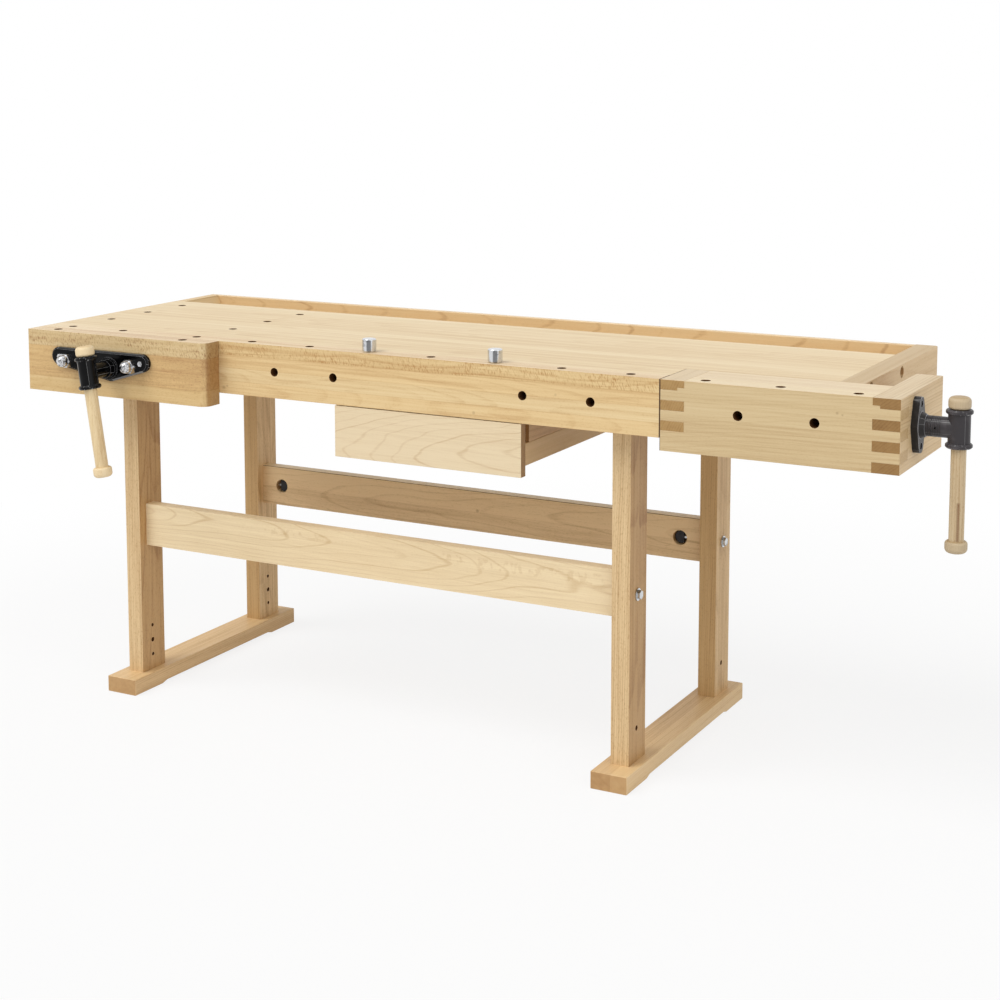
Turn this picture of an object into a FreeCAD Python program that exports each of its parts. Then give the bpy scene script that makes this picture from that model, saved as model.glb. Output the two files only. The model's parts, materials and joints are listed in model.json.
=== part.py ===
"""Woodworking bench with a front vise, a tail vise, a drawer and two bench dogs.

Millimetres, +X along the bench to the tail vise, +Y to the back, +Z up. The sizes and
places below are measured from the left end of the top, the front face of the apron and
the floor. Every piece is moved at the end, so that the origin lies on the floor under
the middle of the whole object's box.
"""
import FreeCAD
import Part
import math
import os

from FreeCAD import Vector

X_AXIS = Vector(1, 0, 0)
Y_AXIS = Vector(0, 1, 0)
Z_AXIS = Vector(0, 0, 1)

# Clearances
RUN_GAP = 0.3            # between wooden or loose pieces that move past each other
SHAFT_GAP = 0.05         # radial, between a shaft and the bore that it runs in
HOLE_GAP = 0.25          # radial, round a bolt, dowel or rod that is held
PASS_GAP = 1.5           # radial, round a screw that passes through wood

# Bench top
TOP_HEIGHT = 850.0       # floor to working surface
BENCH_LENGTH = 1906.0    # left end to the outer face of the right end cap
BENCH_DEPTH = 662.0      # apron face to the back of the rail
SLAB_THICKNESS = 40.0
SLAB_BACK = 504.0        # where the slab ends and the tool tray begins
APRON_THICKNESS = 52.0
APRON_HEIGHT = 115.0
END_CAP_THICKNESS = 48.0
RAIL_THICKNESS = 15.0
RAIL_HEIGHT = 90.0
RAIL_EDGE = 2.0          # chamfer along the rail's upper edges
TRAY_BOTTOM_THICKNESS = 12.0
TRAY_BOTTOM_LAP = 24.0   # how far the tray bottom reaches under the slab
TRAY_END_THICKNESS = 25.0
RAMP_FOOT = 20.0         # how far a tray ramp reaches along the tray
RAMP_DROP = 2.0          # top of a ramp below the working surface
CAP_ROUND = 10.0         # rounding of the end cap's back corner
CAP_BOLT_PLACES = (174.0, 384.0)
CAP_BOLT_DROP = 15.0      # bolt axes below the working surface
CAP_BOLT_RADIUS = 5.0
CAP_BOLT_LENGTH = 110.0
CAP_BOLT_HEAD_RADIUS = 8.5
CAP_BOLT_HEAD = 6.4
CAP_COUNTERBORE_RADIUS = 12.0
CAP_COUNTERBORE_DEPTH = 14.0
CROSS_NUT_RADIUS = 9.0
CROSS_NUT_HEIGHT = 20.0

# Dog holes
DOG_HOLE_RADIUS = 9.5
DOG_PITCH = 150.0
DOG_ROW_DEPTH = 26.0     # front row behind the apron face
DOG_ROW_STEP = 137.0     # from one row to the next, to the back
DOG_ROWS_BEHIND = 3
FIRST_COLUMN = 421.0     # first column of the long front row
LEFT_COLUMN = 68.0
EXTRA_HOLE = 214.0
FACE_HOLE_DROP = 58.0    # centre of the holes in the front faces below the top
FACE_HOLE_SPANS = (1, 2, 5, 6)   # spans of the front row that have a face hole
EDGE_MARGIN = 30.0       # least wood left between a hole's axis and an end

# Bench dogs
DOG_SPANS = (3, 5)       # columns of the front row that hold the two dogs
DOG_HEAD_RADIUS = 15.0
DOG_HEAD_HEIGHT = 28.0
DOG_HEAD_CHAMFER = 2.0
DOG_NECK_HEIGHT = 2.0
DOG_NECK_INSET = 1.5
DOG_SHANK_LENGTH = 80.0

# Base
FOOT_WIDTH = 80.0
FOOT_HEIGHT = 37.0
FOOT_FRONT = 7.0         # front end of the feet behind the apron face
FOOT_LENGTH = 655.0
FOOT_PAD = 102.0
FOOT_RELIEF = 4.5
FOOT_RELIEF_RAMP = 17.0
LEFT_FOOT_MIDDLE = 200.0
RIGHT_FOOT_FROM_SEAM = 106.0     # middle of the right foot to the tail vise's left face
LEG_WIDTH = 40.0
LEG_DEPTH = 82.0
FRONT_LEG_INSET = 55.0   # front legs behind the front ends of the feet
BACK_LEG_INSET = 44.0    # back legs in front of the back ends of the feet
TENON_LENGTH = 24.0
TENON_WIDTH = 18.0
TENON_DEPTH = 56.0
BEARER_HEIGHT = 65.0
BEARER_FRONT_GAP = 22.0  # bearers behind the back of the apron
BEARER_BACK_GAP = 8.0    # bearers in front of the rail

# Stretchers and their joints
STRETCHER_HEIGHT = 98.0
STRETCHER_THICKNESS = 28.0
STRETCHER_BOTTOM = 338.0
STRETCHER_SETBACK = 24.0         # behind the front face of the leg
POCKET_RADIUS = 17.0
POCKET_DEPTH = 21.0
POCKET_FROM_END = 57.0
FRAME_BOLT_RADIUS = 5.0
FRAME_BOLT_HEAD = 6.4
FRAME_BOLT_HEAD_RADIUS = 9.8     # over the corners of the hexagon
WASHER_RADIUS = 13.0
WASHER_THICKNESS = 2.5
DOWEL_RADIUS = 4.0
DOWEL_STEP = 35.0                # dowels above and below each frame bolt
DOWEL_IN_LEG = 16.0
DOWEL_IN_STRETCHER = 24.0
LOWER_JOINT_HEIGHT = 107.0       # spare bolt place near the foot
HALF_NUT_RADIUS = 13.5
HALF_NUT_THICKNESS = 14.0

# Screws that hold the top to the bearers
TOP_SCREW_RADIUS = 4.0
TOP_SCREW_HEAD_RADIUS = 7.5
TOP_SCREW_HEAD = 5.5
TOP_SCREW_IN_SLAB = 28.0
TOP_SCREW_PLACES = (215.0, 430.0)

# Front jaw
JAW_LENGTH = 500.0
JAW_THICKNESS = 50.0
JAW_HEIGHT = 140.0
JAW_ROUND = 20.0         # rounding of the jaw's right front edge
JAW_TRAVEL = 150.0

# Front vise plate and screw
FRONT_SCREW_X = 243.0
FRONT_SCREW_DROP = 71.0  # screw axis below the working surface
PLATE_LEFT_LOBE = 146.5  # lobe centres left and right of the screw axis
PLATE_RIGHT_LOBE = 88.0
PLATE_LOBE_LIFT = 16.0   # lobes above the screw axis
PLATE_LOBE_RADIUS = 20.5
PLATE_BOSS_RADIUS = 30.5
PLATE_THICKNESS = 12.0
PLATE_BEVEL = 4.0
STEP_RADIUS = 24.7       # low step round the ring
STEP_LENGTH = 4.0
RING_RADIUS = 20.0
RING_LENGTH = 18.0
PLATE_LEFT_SCREW = 139.5         # plate screws left and right of the screw axis
PLATE_RIGHT_SCREW = 90.0
PLATE_SCREW_RADIUS = 4.0
PLATE_SCREW_HEAD_RADIUS = 6.5
PLATE_SCREW_HEAD = 4.5
PLATE_SCREW_IN_JAW = 34.0

# Front guide rods
LEFT_ROD = 116.5         # guide rods left and right of the screw axis
RIGHT_ROD = 64.0
ROD_LIFT = 9.5           # above the screw axis
ROD_RADIUS = 10.0
ROD_SPARE = 70.0         # rod left behind the bushes when the jaw is fully open
BUSH_WALL = 4.0
BUSH_FLANGE = 4.0
BUSH_FLANGE_RADIUS = 18.0
ROD_HEAD_RADIUS = 14.5
ROD_HEAD_LENGTH = 8.0
CAP_NUT_RADIUS = 17.3    # over the corners of the hexagon
CAP_NUT_HEX = 16.0
CAP_NUT_NECK = 4.0       # straight part of the dome
CAP_NUT_DOME_RADIUS = 14.0

# Vise screws, nuts and hubs
SCREW_RADIUS = 12.0
SCREW_CORE_RADIUS = 9.8
SCREW_LEAD = 6.0
SCREW_SPARE = 16.0       # front screw left behind its nut when the jaw is fully open
COLLAR_RADIUS = 19.0
COLLAR_LENGTH = 10.0
COLLAR_RECESS = 14.0
NUT_PLATE_THICKNESS = 8.0
NUT_PLATE_WIDTH = 56.0
NUT_PLATE_HEIGHT = 58.0
NUT_BOSS_RADIUS = 18.5
NUT_BOSS_LENGTH = 24.0
NUT_SCREW_RADIUS = 3.0
NUT_SCREW_HEAD_RADIUS = 5.5
NUT_SCREW_HEAD = 3.5
NUT_SCREW_IN_WOOD = 15.0
NUT_SCREW_SPAN = 42.0
HUB_REACH = 83.0         # hub axis in front of the face that the vise plate sits on
HUB_HEIGHT = 72.0
HUB_WALL = 4.0           # between the end of the screw and the handle hole
HUB_BODY_RADIUS = 20.5
HUB_RIM_RADIUS = 24.8
HUB_RIM_HEIGHT = 9.0
HUB_RIM_CHAMFER = 2.5
FRONT_NECK_RADIUS = 17.0
TAIL_NECK_RADIUS = 19.5
NECK_COLLAR = 10.0       # from the start of a neck to its groove
NECK_GROOVE_WIDTH = 1.6
NECK_GROOVE_DEPTH = 1.2
PIN_RADIUS = 2.5
PIN_FROM_NECK = 19.0     # pin hole from the start of a neck
PIN_DEPTH = 4.0

# Handles
HANDLE_LENGTH = 292.0
HANDLE_ROD_RADIUS = 14.0
KNOB_RADIUS = 20.8
KNOB_HEIGHT = 23.0
KNOB_SOCKET = 16.0       # depth of the rod in each knob
KNOB_ROUND = 5.0
HANDLE_HOLE_GAP = 0.35
FRONT_HANDLE_TILT = 9.0         # degrees, lower end to the right

# Tail vise
TAIL_LENGTH = 470.0      # outer face of the end block to the left face
TAIL_DEPTH = 135.0       # depth of the block that carries the dog holes
TAIL_GAP = 55.0          # between the end cap and the end block when closed
TAIL_HEIGHT = 140.0
TAIL_TRAVEL = 150.0
END_BLOCK_THICKNESS = 52.0
END_BLOCK_DEPTH = 290.0
LEFT_BLOCK_THICKNESS = 50.0
TAIL_TOP_THICKNESS = 22.0
TAIL_SCREW_DEPTH = 92.5  # screw axis behind the apron face
TAIL_SCREW_DROP = 61.0
TAIL_SCREW_SPARE = 67.0  # tail screw left inside the end cap when the vise is fully open
TAIL_FIRST_HOLE = 84.0   # first dog hole from the left face
TAIL_HOLES = 3
FINGERS = 7              # equal fingers over the height of the tail vise
FINGER_STEP_LENGTH = 14.0        # cut from the inner lower corner of the top fingers
FINGER_STEP_HEIGHT = 5.5
GUIDE_RAIL_DEPTH = 17.5
GUIDE_RAIL_THICKNESS = 13.0
GUIDE_RAIL_IN_SLAB = 6.0
GUIDE_STOP_GAP = 9.0     # between the guide board and the end cap when the vise is fully open
GUIDE_SHELF_THICKNESS = 20.0
GUIDE_WEB = 11.0

# Tail vise flange
FLANGE_HEIGHT = 106.0
FLANGE_WIDTH = 54.0
FLANGE_THICKNESS = 14.0
FLANGE_CONE_LENGTH = 10.0
FLANGE_END_RADIUS = 15.0
FLANGE_BOLT_SPAN = 79.0
FLANGE_BOLT_RADIUS = 4.0
FLANGE_BOLT_HEAD_RADIUS = 6.5
FLANGE_BOLT_HEAD = 6.0
FLANGE_BOLT_IN_BLOCK = 36.0

# Drawer
DRAWER_FROM_LEG = 174.0  # right end of the front to the right legs
DRAWER_WIDTH = 444.0
DRAWER_HEIGHT = 110.0
DRAWER_TRAVEL = 300.0
DRAWER_HELD = 130.0      # length that stays under the top when the drawer is open
DRAWER_TOP_GAP = 2.0     # below the apron
DRAWER_FRONT_SETBACK = 1.0
DRAWER_FRONT_THICKNESS = 20.0
DRAWER_SIDE_THICKNESS = 20.0
DRAWER_SIDE_INSET = 2.5  # sides inside the ends of the front
DRAWER_SIDE_LIFT = 20.0  # sides above the lower edge of the front
DRAWER_BACK_THICKNESS = 14.0
DRAWER_BOTTOM_THICKNESS = 6.0
DRAWER_BOTTOM_LIFT = 10.0        # underside of the bottom above the sides' lower edge
GROOVE_DEPTH = 5.0
RUNNER_THICKNESS = 9.0
RUNNER_LEDGE = 46.0      # height of the ledge above the sides' lower edge
RUNNER_TONGUE = 6.0
RUNNER_TONGUE_HEIGHT = 14.0
RUNNER_TONGUE_LIFT = 16.0
RUNNER_START = 42.0
RUNNER_FOOT = 30.0       # width of the part that is fixed under the slab
RUNNER_SCREW_RADIUS = 2.5
RUNNER_SCREW_HEAD_RADIUS = 4.5
RUNNER_SCREW_HEAD = 3.0
RUNNER_SCREW_IN_SLAB = 24.0

# Derived places
SLAB_BOTTOM = TOP_HEIGHT - SLAB_THICKNESS
APRON_BOTTOM = TOP_HEIGHT - APRON_HEIGHT
END_CAP_LEFT = BENCH_LENGTH - END_CAP_THICKNESS
TAIL_END_FACE = BENCH_LENGTH + TAIL_GAP + END_BLOCK_THICKNESS
END_BLOCK_LEFT = TAIL_END_FACE - END_BLOCK_THICKNESS
SEAM = TAIL_END_FACE - TAIL_LENGTH
TAIL_LEFT = SEAM + RUN_GAP
TAIL_BACK = TAIL_DEPTH - RUN_GAP
TAIL_BOTTOM = TOP_HEIGHT - TAIL_HEIGHT
TAIL_TOP_UNDERSIDE = TOP_HEIGHT - TAIL_TOP_THICKNESS
TAIL_SCREW_Z = TOP_HEIGHT - TAIL_SCREW_DROP
TAIL_SCREW_INSIDE = TAIL_GAP + END_CAP_THICKNESS + TAIL_TRAVEL + TAIL_SCREW_SPARE
GUIDE_RAIL_TOP = TAIL_TOP_UNDERSIDE - RUN_GAP
GUIDE_RAIL_BOTTOM = GUIDE_RAIL_TOP - GUIDE_RAIL_THICKNESS
GUIDE_RAIL_FRONT = TAIL_DEPTH - GUIDE_RAIL_DEPTH
GUIDE_BOARD_LEFT = TAIL_LEFT + LEFT_BLOCK_THICKNESS
GUIDE_BOARD_LENGTH = END_CAP_LEFT - GUIDE_STOP_GAP - TAIL_TRAVEL - GUIDE_BOARD_LEFT
FRONT_SCREW_Z = TOP_HEIGHT - FRONT_SCREW_DROP
ROD_Z = FRONT_SCREW_Z + ROD_LIFT
ROD_PLACES = (FRONT_SCREW_X - LEFT_ROD, FRONT_SCREW_X + RIGHT_ROD)
JAW_BACK = -RUN_GAP
JAW_FRONT = JAW_BACK - JAW_THICKNESS
PLATE_FRONT = JAW_FRONT - PLATE_THICKNESS
ROD_BACK = APRON_THICKNESS + BUSH_FLANGE + JAW_TRAVEL + ROD_SPARE
FRONT_SCREW_BACK = APRON_THICKNESS + NUT_PLATE_THICKNESS + NUT_BOSS_LENGTH + JAW_TRAVEL + SCREW_SPARE
FRONT_HUB_Y = JAW_FRONT - HUB_REACH
TAIL_HUB_X = TAIL_END_FACE + HUB_REACH
FACE_HOLE_Z = TOP_HEIGHT - FACE_HOLE_DROP
CAP_BOLT_Z = TOP_HEIGHT - CAP_BOLT_DROP
CAP_BOLT_SEAT = BENCH_LENGTH - CAP_COUNTERBORE_DEPTH
CROSS_NUT_X = CAP_BOLT_SEAT - CAP_BOLT_LENGTH + CROSS_NUT_RADIUS
TRAY_FLOOR = SLAB_BOTTOM
TRAY_UNDERSIDE = TRAY_FLOOR - TRAY_BOTTOM_THICKNESS
RAIL_FRONT = BENCH_DEPTH - RAIL_THICKNESS
LEG_TOP = SLAB_BOTTOM - BEARER_HEIGHT
FRONT_LEG_Y = FOOT_FRONT + FRONT_LEG_INSET
BACK_LEG_Y = FOOT_FRONT + FOOT_LENGTH - BACK_LEG_INSET - LEG_DEPTH
LEG_ROWS = (FRONT_LEG_Y, BACK_LEG_Y)
RIGHT_FOOT_MIDDLE = SEAM - RIGHT_FOOT_FROM_SEAM
FOOT_MIDDLES = (LEFT_FOOT_MIDDLE, RIGHT_FOOT_MIDDLE)
LEFT_LEG_INNER = LEFT_FOOT_MIDDLE + LEG_WIDTH / 2
RIGHT_LEG_INNER = RIGHT_FOOT_MIDDLE - LEG_WIDTH / 2
STRETCHER_MIDDLE_Z = STRETCHER_BOTTOM + STRETCHER_HEIGHT / 2
BOLT_FROM_LEG_FRONT = STRETCHER_SETBACK + STRETCHER_THICKNESS / 2
BEARER_FRONT = APRON_THICKNESS + BEARER_FRONT_GAP
BEARER_BACK = RAIL_FRONT - BEARER_BACK_GAP
DRAWER_LEFT = RIGHT_LEG_INNER - DRAWER_FROM_LEG - DRAWER_WIDTH
DRAWER_TOP = APRON_BOTTOM - DRAWER_TOP_GAP
DRAWER_BOTTOM_EDGE = DRAWER_TOP - DRAWER_HEIGHT
DRAWER_SIDE_BOTTOM = DRAWER_BOTTOM_EDGE + DRAWER_SIDE_LIFT
DRAWER_LEDGE = DRAWER_SIDE_BOTTOM + RUNNER_LEDGE
DRAWER_FACE = DRAWER_FRONT_SETBACK
DRAWER_INSIDE_FRONT = DRAWER_FACE + DRAWER_FRONT_THICKNESS
DRAWER_BACK = DRAWER_FACE + DRAWER_TRAVEL + DRAWER_HELD
DRAWER_LEFT_FACE = DRAWER_LEFT + DRAWER_SIDE_INSET
DRAWER_RIGHT_FACE = DRAWER_LEFT + DRAWER_WIDTH - DRAWER_SIDE_INSET
LEFT_EXTENT = 0.0
RIGHT_EXTENT = TAIL_HUB_X + HUB_RIM_RADIUS
FRONT_EXTENT = FRONT_HUB_Y - HUB_RIM_RADIUS
BACK_EXTENT = max(BENCH_DEPTH, FOOT_FRONT + FOOT_LENGTH)
ORIGIN = Vector((LEFT_EXTENT + RIGHT_EXTENT) / 2, (FRONT_EXTENT + BACK_EXTENT) / 2, 0)


# Basic shapes
def block(x_range, y_range, z_range):
    """A box between three pairs of limits."""
    low = Vector(x_range[0], y_range[0], z_range[0])
    size = [x_range[1] - x_range[0], y_range[1] - y_range[0], z_range[1] - z_range[0]]
    return Part.makeBox(size[0], size[1], size[2], low)


def rod(radius, start, axis, length):
    """A cylinder from a point along an axis."""
    return Part.makeCylinder(radius, length, start, axis)


def cone(first_radius, last_radius, start, axis, length):
    """A truncated cone from a point along an axis."""
    return Part.makeCone(first_radius, last_radius, length, start, axis)


def ring(outer, inner, start, axis, length):
    """A tube from a point along an axis."""
    return rod(outer, start, axis, length).cut(rod(inner, start, axis, length))


def hexagon(radius, start, axis, length):
    """A hexagonal prism, its radius taken over the corners."""
    side = Vector(axis.y, axis.z, axis.x)
    other = axis.cross(side)
    corners = []
    for step in range(7):
        turn = math.radians(60 * step)
        corners.append(start + side * (radius * math.cos(turn)) + other * (radius * math.sin(turn)))
    return Part.Face(Part.makePolygon(corners)).extrude(axis * length)


def prism(corners, direction):
    """A straight prism over a closed outline of points."""
    return Part.Face(Part.makePolygon(corners + corners[:1])).extrude(direction)


def group(shapes):
    """Separate solids that share one node."""
    return Part.makeCompound(shapes)


def drill(shape, cutters):
    """The shape with every cutter taken away."""
    for cutter in cutters:
        shape = shape.cut(cutter)
    return shape


def join(shapes):
    """One solid from pieces that touch."""
    whole = shapes[0]
    for shape in shapes[1:]:
        whole = whole.fuse(shape)
    return whole.removeSplitter()


def edges_where(shape, test):
    """The edges whose middle point passes a test."""
    return [edge for edge in shape.Edges if test(edge.CenterOfMass)]


# Dog holes
def dog_hole(x, y, bottom):
    """The cutter of an upright dog hole down to a level."""
    return rod(DOG_HOLE_RADIUS, Vector(x, y, bottom), Z_AXIS, TOP_HEIGHT - bottom)


def face_hole(x, depth):
    """The cutter of a hole in a front face."""
    return rod(DOG_HOLE_RADIUS, Vector(x, 0, FACE_HOLE_Z), Y_AXIS, depth)


def front_columns():
    """Columns of the long front row that fit in front of the tail vise."""
    count = int((SEAM - EDGE_MARGIN - FIRST_COLUMN) / DOG_PITCH) + 1
    return [FIRST_COLUMN + DOG_PITCH * index for index in range(count)]


def tail_columns():
    """Dog holes of the tail vise."""
    return [SEAM + TAIL_FIRST_HOLE + DOG_PITCH * index for index in range(TAIL_HOLES)]


def rows_behind():
    """Rows behind the front row, in the slab."""
    return [DOG_ROW_DEPTH + DOG_ROW_STEP * (index + 1) for index in range(DOG_ROWS_BEHIND)]


# Bench top
def slab():
    """The glued top, notched at the right for the tail vise."""
    whole = block((0, END_CAP_LEFT), (APRON_THICKNESS, SLAB_BACK), (SLAB_BOTTOM, TOP_HEIGHT))
    notch = block((SEAM, END_CAP_LEFT), (APRON_THICKNESS, TAIL_DEPTH), (SLAB_BOTTOM, TOP_HEIGHT))
    holes = [tail_guide_rail()]
    for x in (LEFT_COLUMN, FIRST_COLUMN):
        for y in rows_behind():
            holes.append(dog_hole(x, y, SLAB_BOTTOM))
    for y in CAP_BOLT_PLACES:
        holes.append(cap_bolt_shank(y, CAP_BOLT_RADIUS + HOLE_GAP))
        holes.append(cross_nut_hole(y))
    for x, y in top_screw_places():
        holes.append(rod(TOP_SCREW_RADIUS, Vector(x, y, SLAB_BOTTOM), Z_AXIS, TOP_SCREW_IN_SLAB))
    for x, y in runner_screw_places():
        holes.append(rod(RUNNER_SCREW_RADIUS, Vector(x, y, SLAB_BOTTOM), Z_AXIS, RUNNER_SCREW_IN_SLAB))
    return drill(whole.cut(notch), holes)


def front_apron():
    """The thick front board with the long row of dog holes."""
    board = block((0, SEAM), (0, APRON_THICKNESS), (APRON_BOTTOM, TOP_HEIGHT))
    columns = front_columns()
    holes = [dog_hole(x, DOG_ROW_DEPTH, APRON_BOTTOM) for x in [LEFT_COLUMN, EXTRA_HOLE] + columns]
    for span in FACE_HOLE_SPANS:
        holes.append(face_hole(FIRST_COLUMN + DOG_PITCH * (span + 0.5), APRON_THICKNESS))
    screw_start = Vector(FRONT_SCREW_X, 0, FRONT_SCREW_Z)
    holes.append(rod(SCREW_RADIUS + PASS_GAP, screw_start, Y_AXIS, APRON_THICKNESS))
    holes.append(rod(COLLAR_RADIUS + PASS_GAP, screw_start, Y_AXIS, COLLAR_RECESS))
    for x in ROD_PLACES:
        holes.append(rod(ROD_RADIUS + BUSH_WALL, Vector(x, 0, ROD_Z), Y_AXIS, APRON_THICKNESS))
    holes.extend(front_nut_screw_shanks())
    return drill(board, holes)


def cap_bolt_shank(y, radius):
    """A cylinder along an end cap bolt, from its seat into the slab."""
    start = Vector(CAP_BOLT_SEAT - CAP_BOLT_LENGTH, y, CAP_BOLT_Z)
    return rod(radius, start, X_AXIS, CAP_BOLT_LENGTH)


def cross_nut_hole(y):
    """The cutter for a cross nut, open at the slab's underside."""
    depth = CAP_BOLT_Z + CROSS_NUT_HEIGHT / 2 - SLAB_BOTTOM
    return rod(CROSS_NUT_RADIUS, Vector(CROSS_NUT_X, y, SLAB_BOTTOM), Z_AXIS, depth)


def right_end_cap():
    """The end cap, with a low tongue in front that carries the tail vise's nut."""
    x_range = (END_CAP_LEFT, BENCH_LENGTH)
    body = block(x_range, (TAIL_DEPTH, BENCH_DEPTH), (APRON_BOTTOM, TOP_HEIGHT))
    corner = edges_where(body, lambda p: p.x > BENCH_LENGTH - 1 and p.y > BENCH_DEPTH - 1)
    body = body.makeFillet(CAP_ROUND, [edge for edge in corner if abs(edge.Length - APRON_HEIGHT) < 1])
    tongue_front = APRON_THICKNESS + RUN_GAP
    tongue_top = TAIL_TOP_UNDERSIDE - RUN_GAP
    tongue = block(x_range, (tongue_front, TAIL_DEPTH), (APRON_BOTTOM, tongue_top))
    holes = []
    for y in CAP_BOLT_PLACES:
        holes.append(cap_bolt_shank(y, CAP_BOLT_RADIUS + HOLE_GAP))
        seat = Vector(CAP_BOLT_SEAT, y, CAP_BOLT_Z)
        holes.append(rod(CAP_COUNTERBORE_RADIUS, seat, X_AXIS, CAP_COUNTERBORE_DEPTH))
    screw_start = Vector(END_CAP_LEFT, TAIL_SCREW_DEPTH, TAIL_SCREW_Z)
    holes.append(rod(SCREW_RADIUS + PASS_GAP, screw_start, X_AXIS, END_CAP_THICKNESS))
    holes.extend(tail_nut_screw_shanks())
    return drill(join([body, tongue]), holes)


def end_cap_bolts():
    """Hexagon bolts that draw the end cap onto the slab."""
    bolts = []
    for y in CAP_BOLT_PLACES:
        seat = Vector(CAP_BOLT_SEAT, y, CAP_BOLT_Z)
        head = hexagon(CAP_BOLT_HEAD_RADIUS, seat, X_AXIS, CAP_BOLT_HEAD)
        bolts.append(join([cap_bolt_shank(y, CAP_BOLT_RADIUS), head]))
    return group(bolts)


def end_cap_cross_nuts():
    """Round cross nuts in the slab that the end cap bolts screw into."""
    nuts = []
    for y in CAP_BOLT_PLACES:
        base = Vector(CROSS_NUT_X, y, CAP_BOLT_Z - CROSS_NUT_HEIGHT / 2)
        nut = rod(CROSS_NUT_RADIUS, base, Z_AXIS, CROSS_NUT_HEIGHT)
        nuts.append(nut.cut(cap_bolt_shank(y, CAP_BOLT_RADIUS)))
    return group(nuts)


def tray_bottom():
    """The thin board under the tool tray."""
    return block(
        (0, END_CAP_LEFT), (SLAB_BACK - TRAY_BOTTOM_LAP, RAIL_FRONT), (TRAY_UNDERSIDE, TRAY_FLOOR)
    )


def back_rail():
    """The rail along the back of the tool tray."""
    rail = block((0, END_CAP_LEFT), (RAIL_FRONT, BENCH_DEPTH), (TOP_HEIGHT - RAIL_HEIGHT, TOP_HEIGHT))
    middle = (RAIL_FRONT + BENCH_DEPTH) / 2
    upper = edges_where(rail, lambda p: p.z > TOP_HEIGHT - 1 and abs(p.y - middle) > 1)
    return rail.makeChamfer(RAIL_EDGE, upper)


def tray_end():
    """The board that closes the left end of the tray."""
    return block((0, TRAY_END_THICKNESS), (SLAB_BACK, RAIL_FRONT), (TRAY_FLOOR, TOP_HEIGHT))


def tray_ramps():
    """Sloped blocks at both ends of the tray, for sweeping it out."""
    ramps = []
    for wall_x, toward in ((TRAY_END_THICKNESS, 1), (END_CAP_LEFT, -1)):
        corners = [
            Vector(wall_x, SLAB_BACK, TRAY_FLOOR),
            Vector(wall_x + toward * RAMP_FOOT, SLAB_BACK, TRAY_FLOOR),
            Vector(wall_x, SLAB_BACK, TOP_HEIGHT - RAMP_DROP),
        ]
        ramps.append(prism(corners, Y_AXIS * (RAIL_FRONT - SLAB_BACK)))
    return group(ramps)


# Base
def foot(middle):
    """A sled foot with two pads and mortises for its legs."""
    x_range = (middle - FOOT_WIDTH / 2, middle + FOOT_WIDTH / 2)
    back = FOOT_FRONT + FOOT_LENGTH
    whole = block(x_range, (FOOT_FRONT, back), (0, FOOT_HEIGHT))
    relief = [
        Vector(x_range[0], FOOT_FRONT + FOOT_PAD, 0),
        Vector(x_range[0], FOOT_FRONT + FOOT_PAD + FOOT_RELIEF_RAMP, FOOT_RELIEF),
        Vector(x_range[0], back - FOOT_PAD - FOOT_RELIEF_RAMP, FOOT_RELIEF),
        Vector(x_range[0], back - FOOT_PAD, 0),
    ]
    cutters = [prism(relief, Vector(FOOT_WIDTH, 0, 0))]
    for leg_y in LEG_ROWS:
        cutters.append(tenon(middle, leg_y, FOOT_HEIGHT - TENON_LENGTH))
    return drill(whole, cutters)


def tenon(middle, leg_y, bottom):
    """A stub tenon at one end of a leg."""
    y_middle = leg_y + LEG_DEPTH / 2
    return block(
        (middle - TENON_WIDTH / 2, middle + TENON_WIDTH / 2),
        (y_middle - TENON_DEPTH / 2, y_middle + TENON_DEPTH / 2),
        (bottom, bottom + TENON_LENGTH),
    )


def bolt_levels():
    """Heights of the bolt holes in the legs: the stretcher's and the spare one."""
    return (STRETCHER_MIDDLE_Z, LOWER_JOINT_HEIGHT)


def leg(middle, leg_y, inner_side):
    """An upright with a tenon at each end; inner_side is +1 where the inner face is to +X."""
    body = block(
        (middle - LEG_WIDTH / 2, middle + LEG_WIDTH / 2), (leg_y, leg_y + LEG_DEPTH), (FOOT_HEIGHT, LEG_TOP)
    )
    tenons = [tenon(middle, leg_y, FOOT_HEIGHT - TENON_LENGTH), tenon(middle, leg_y, LEG_TOP)]
    bolt_y = leg_y + BOLT_FROM_LEG_FRONT
    inner_x = middle + inner_side * LEG_WIDTH / 2
    holes = []
    for level in bolt_levels():
        start = Vector(middle - LEG_WIDTH / 2, bolt_y, level)
        holes.append(rod(FRAME_BOLT_RADIUS + HOLE_GAP, start, X_AXIS, LEG_WIDTH))
        for step in (-DOWEL_STEP, DOWEL_STEP):
            mouth = Vector(inner_x, bolt_y, level + step)
            holes.append(rod(DOWEL_RADIUS, mouth, X_AXIS * -inner_side, DOWEL_IN_LEG))
    return drill(join([body] + tenons), holes)


def bearer(middle):
    """A cross beam that joins the tops of two legs and carries the top."""
    whole = block(
        (middle - LEG_WIDTH / 2, middle + LEG_WIDTH / 2), (BEARER_FRONT, BEARER_BACK), (LEG_TOP, SLAB_BOTTOM)
    )
    step = block(
        (middle - LEG_WIDTH / 2, middle + LEG_WIDTH / 2),
        (SLAB_BACK - TRAY_BOTTOM_LAP, BEARER_BACK),
        (TRAY_UNDERSIDE, SLAB_BOTTOM),
    )
    cutters = [step] + [tenon(middle, leg_y, LEG_TOP) for leg_y in LEG_ROWS]
    for y in TOP_SCREW_PLACES:
        cutters.append(rod(TOP_SCREW_RADIUS + HOLE_GAP, Vector(middle, y, LEG_TOP), Z_AXIS, BEARER_HEIGHT))
    return drill(whole, cutters)


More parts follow.
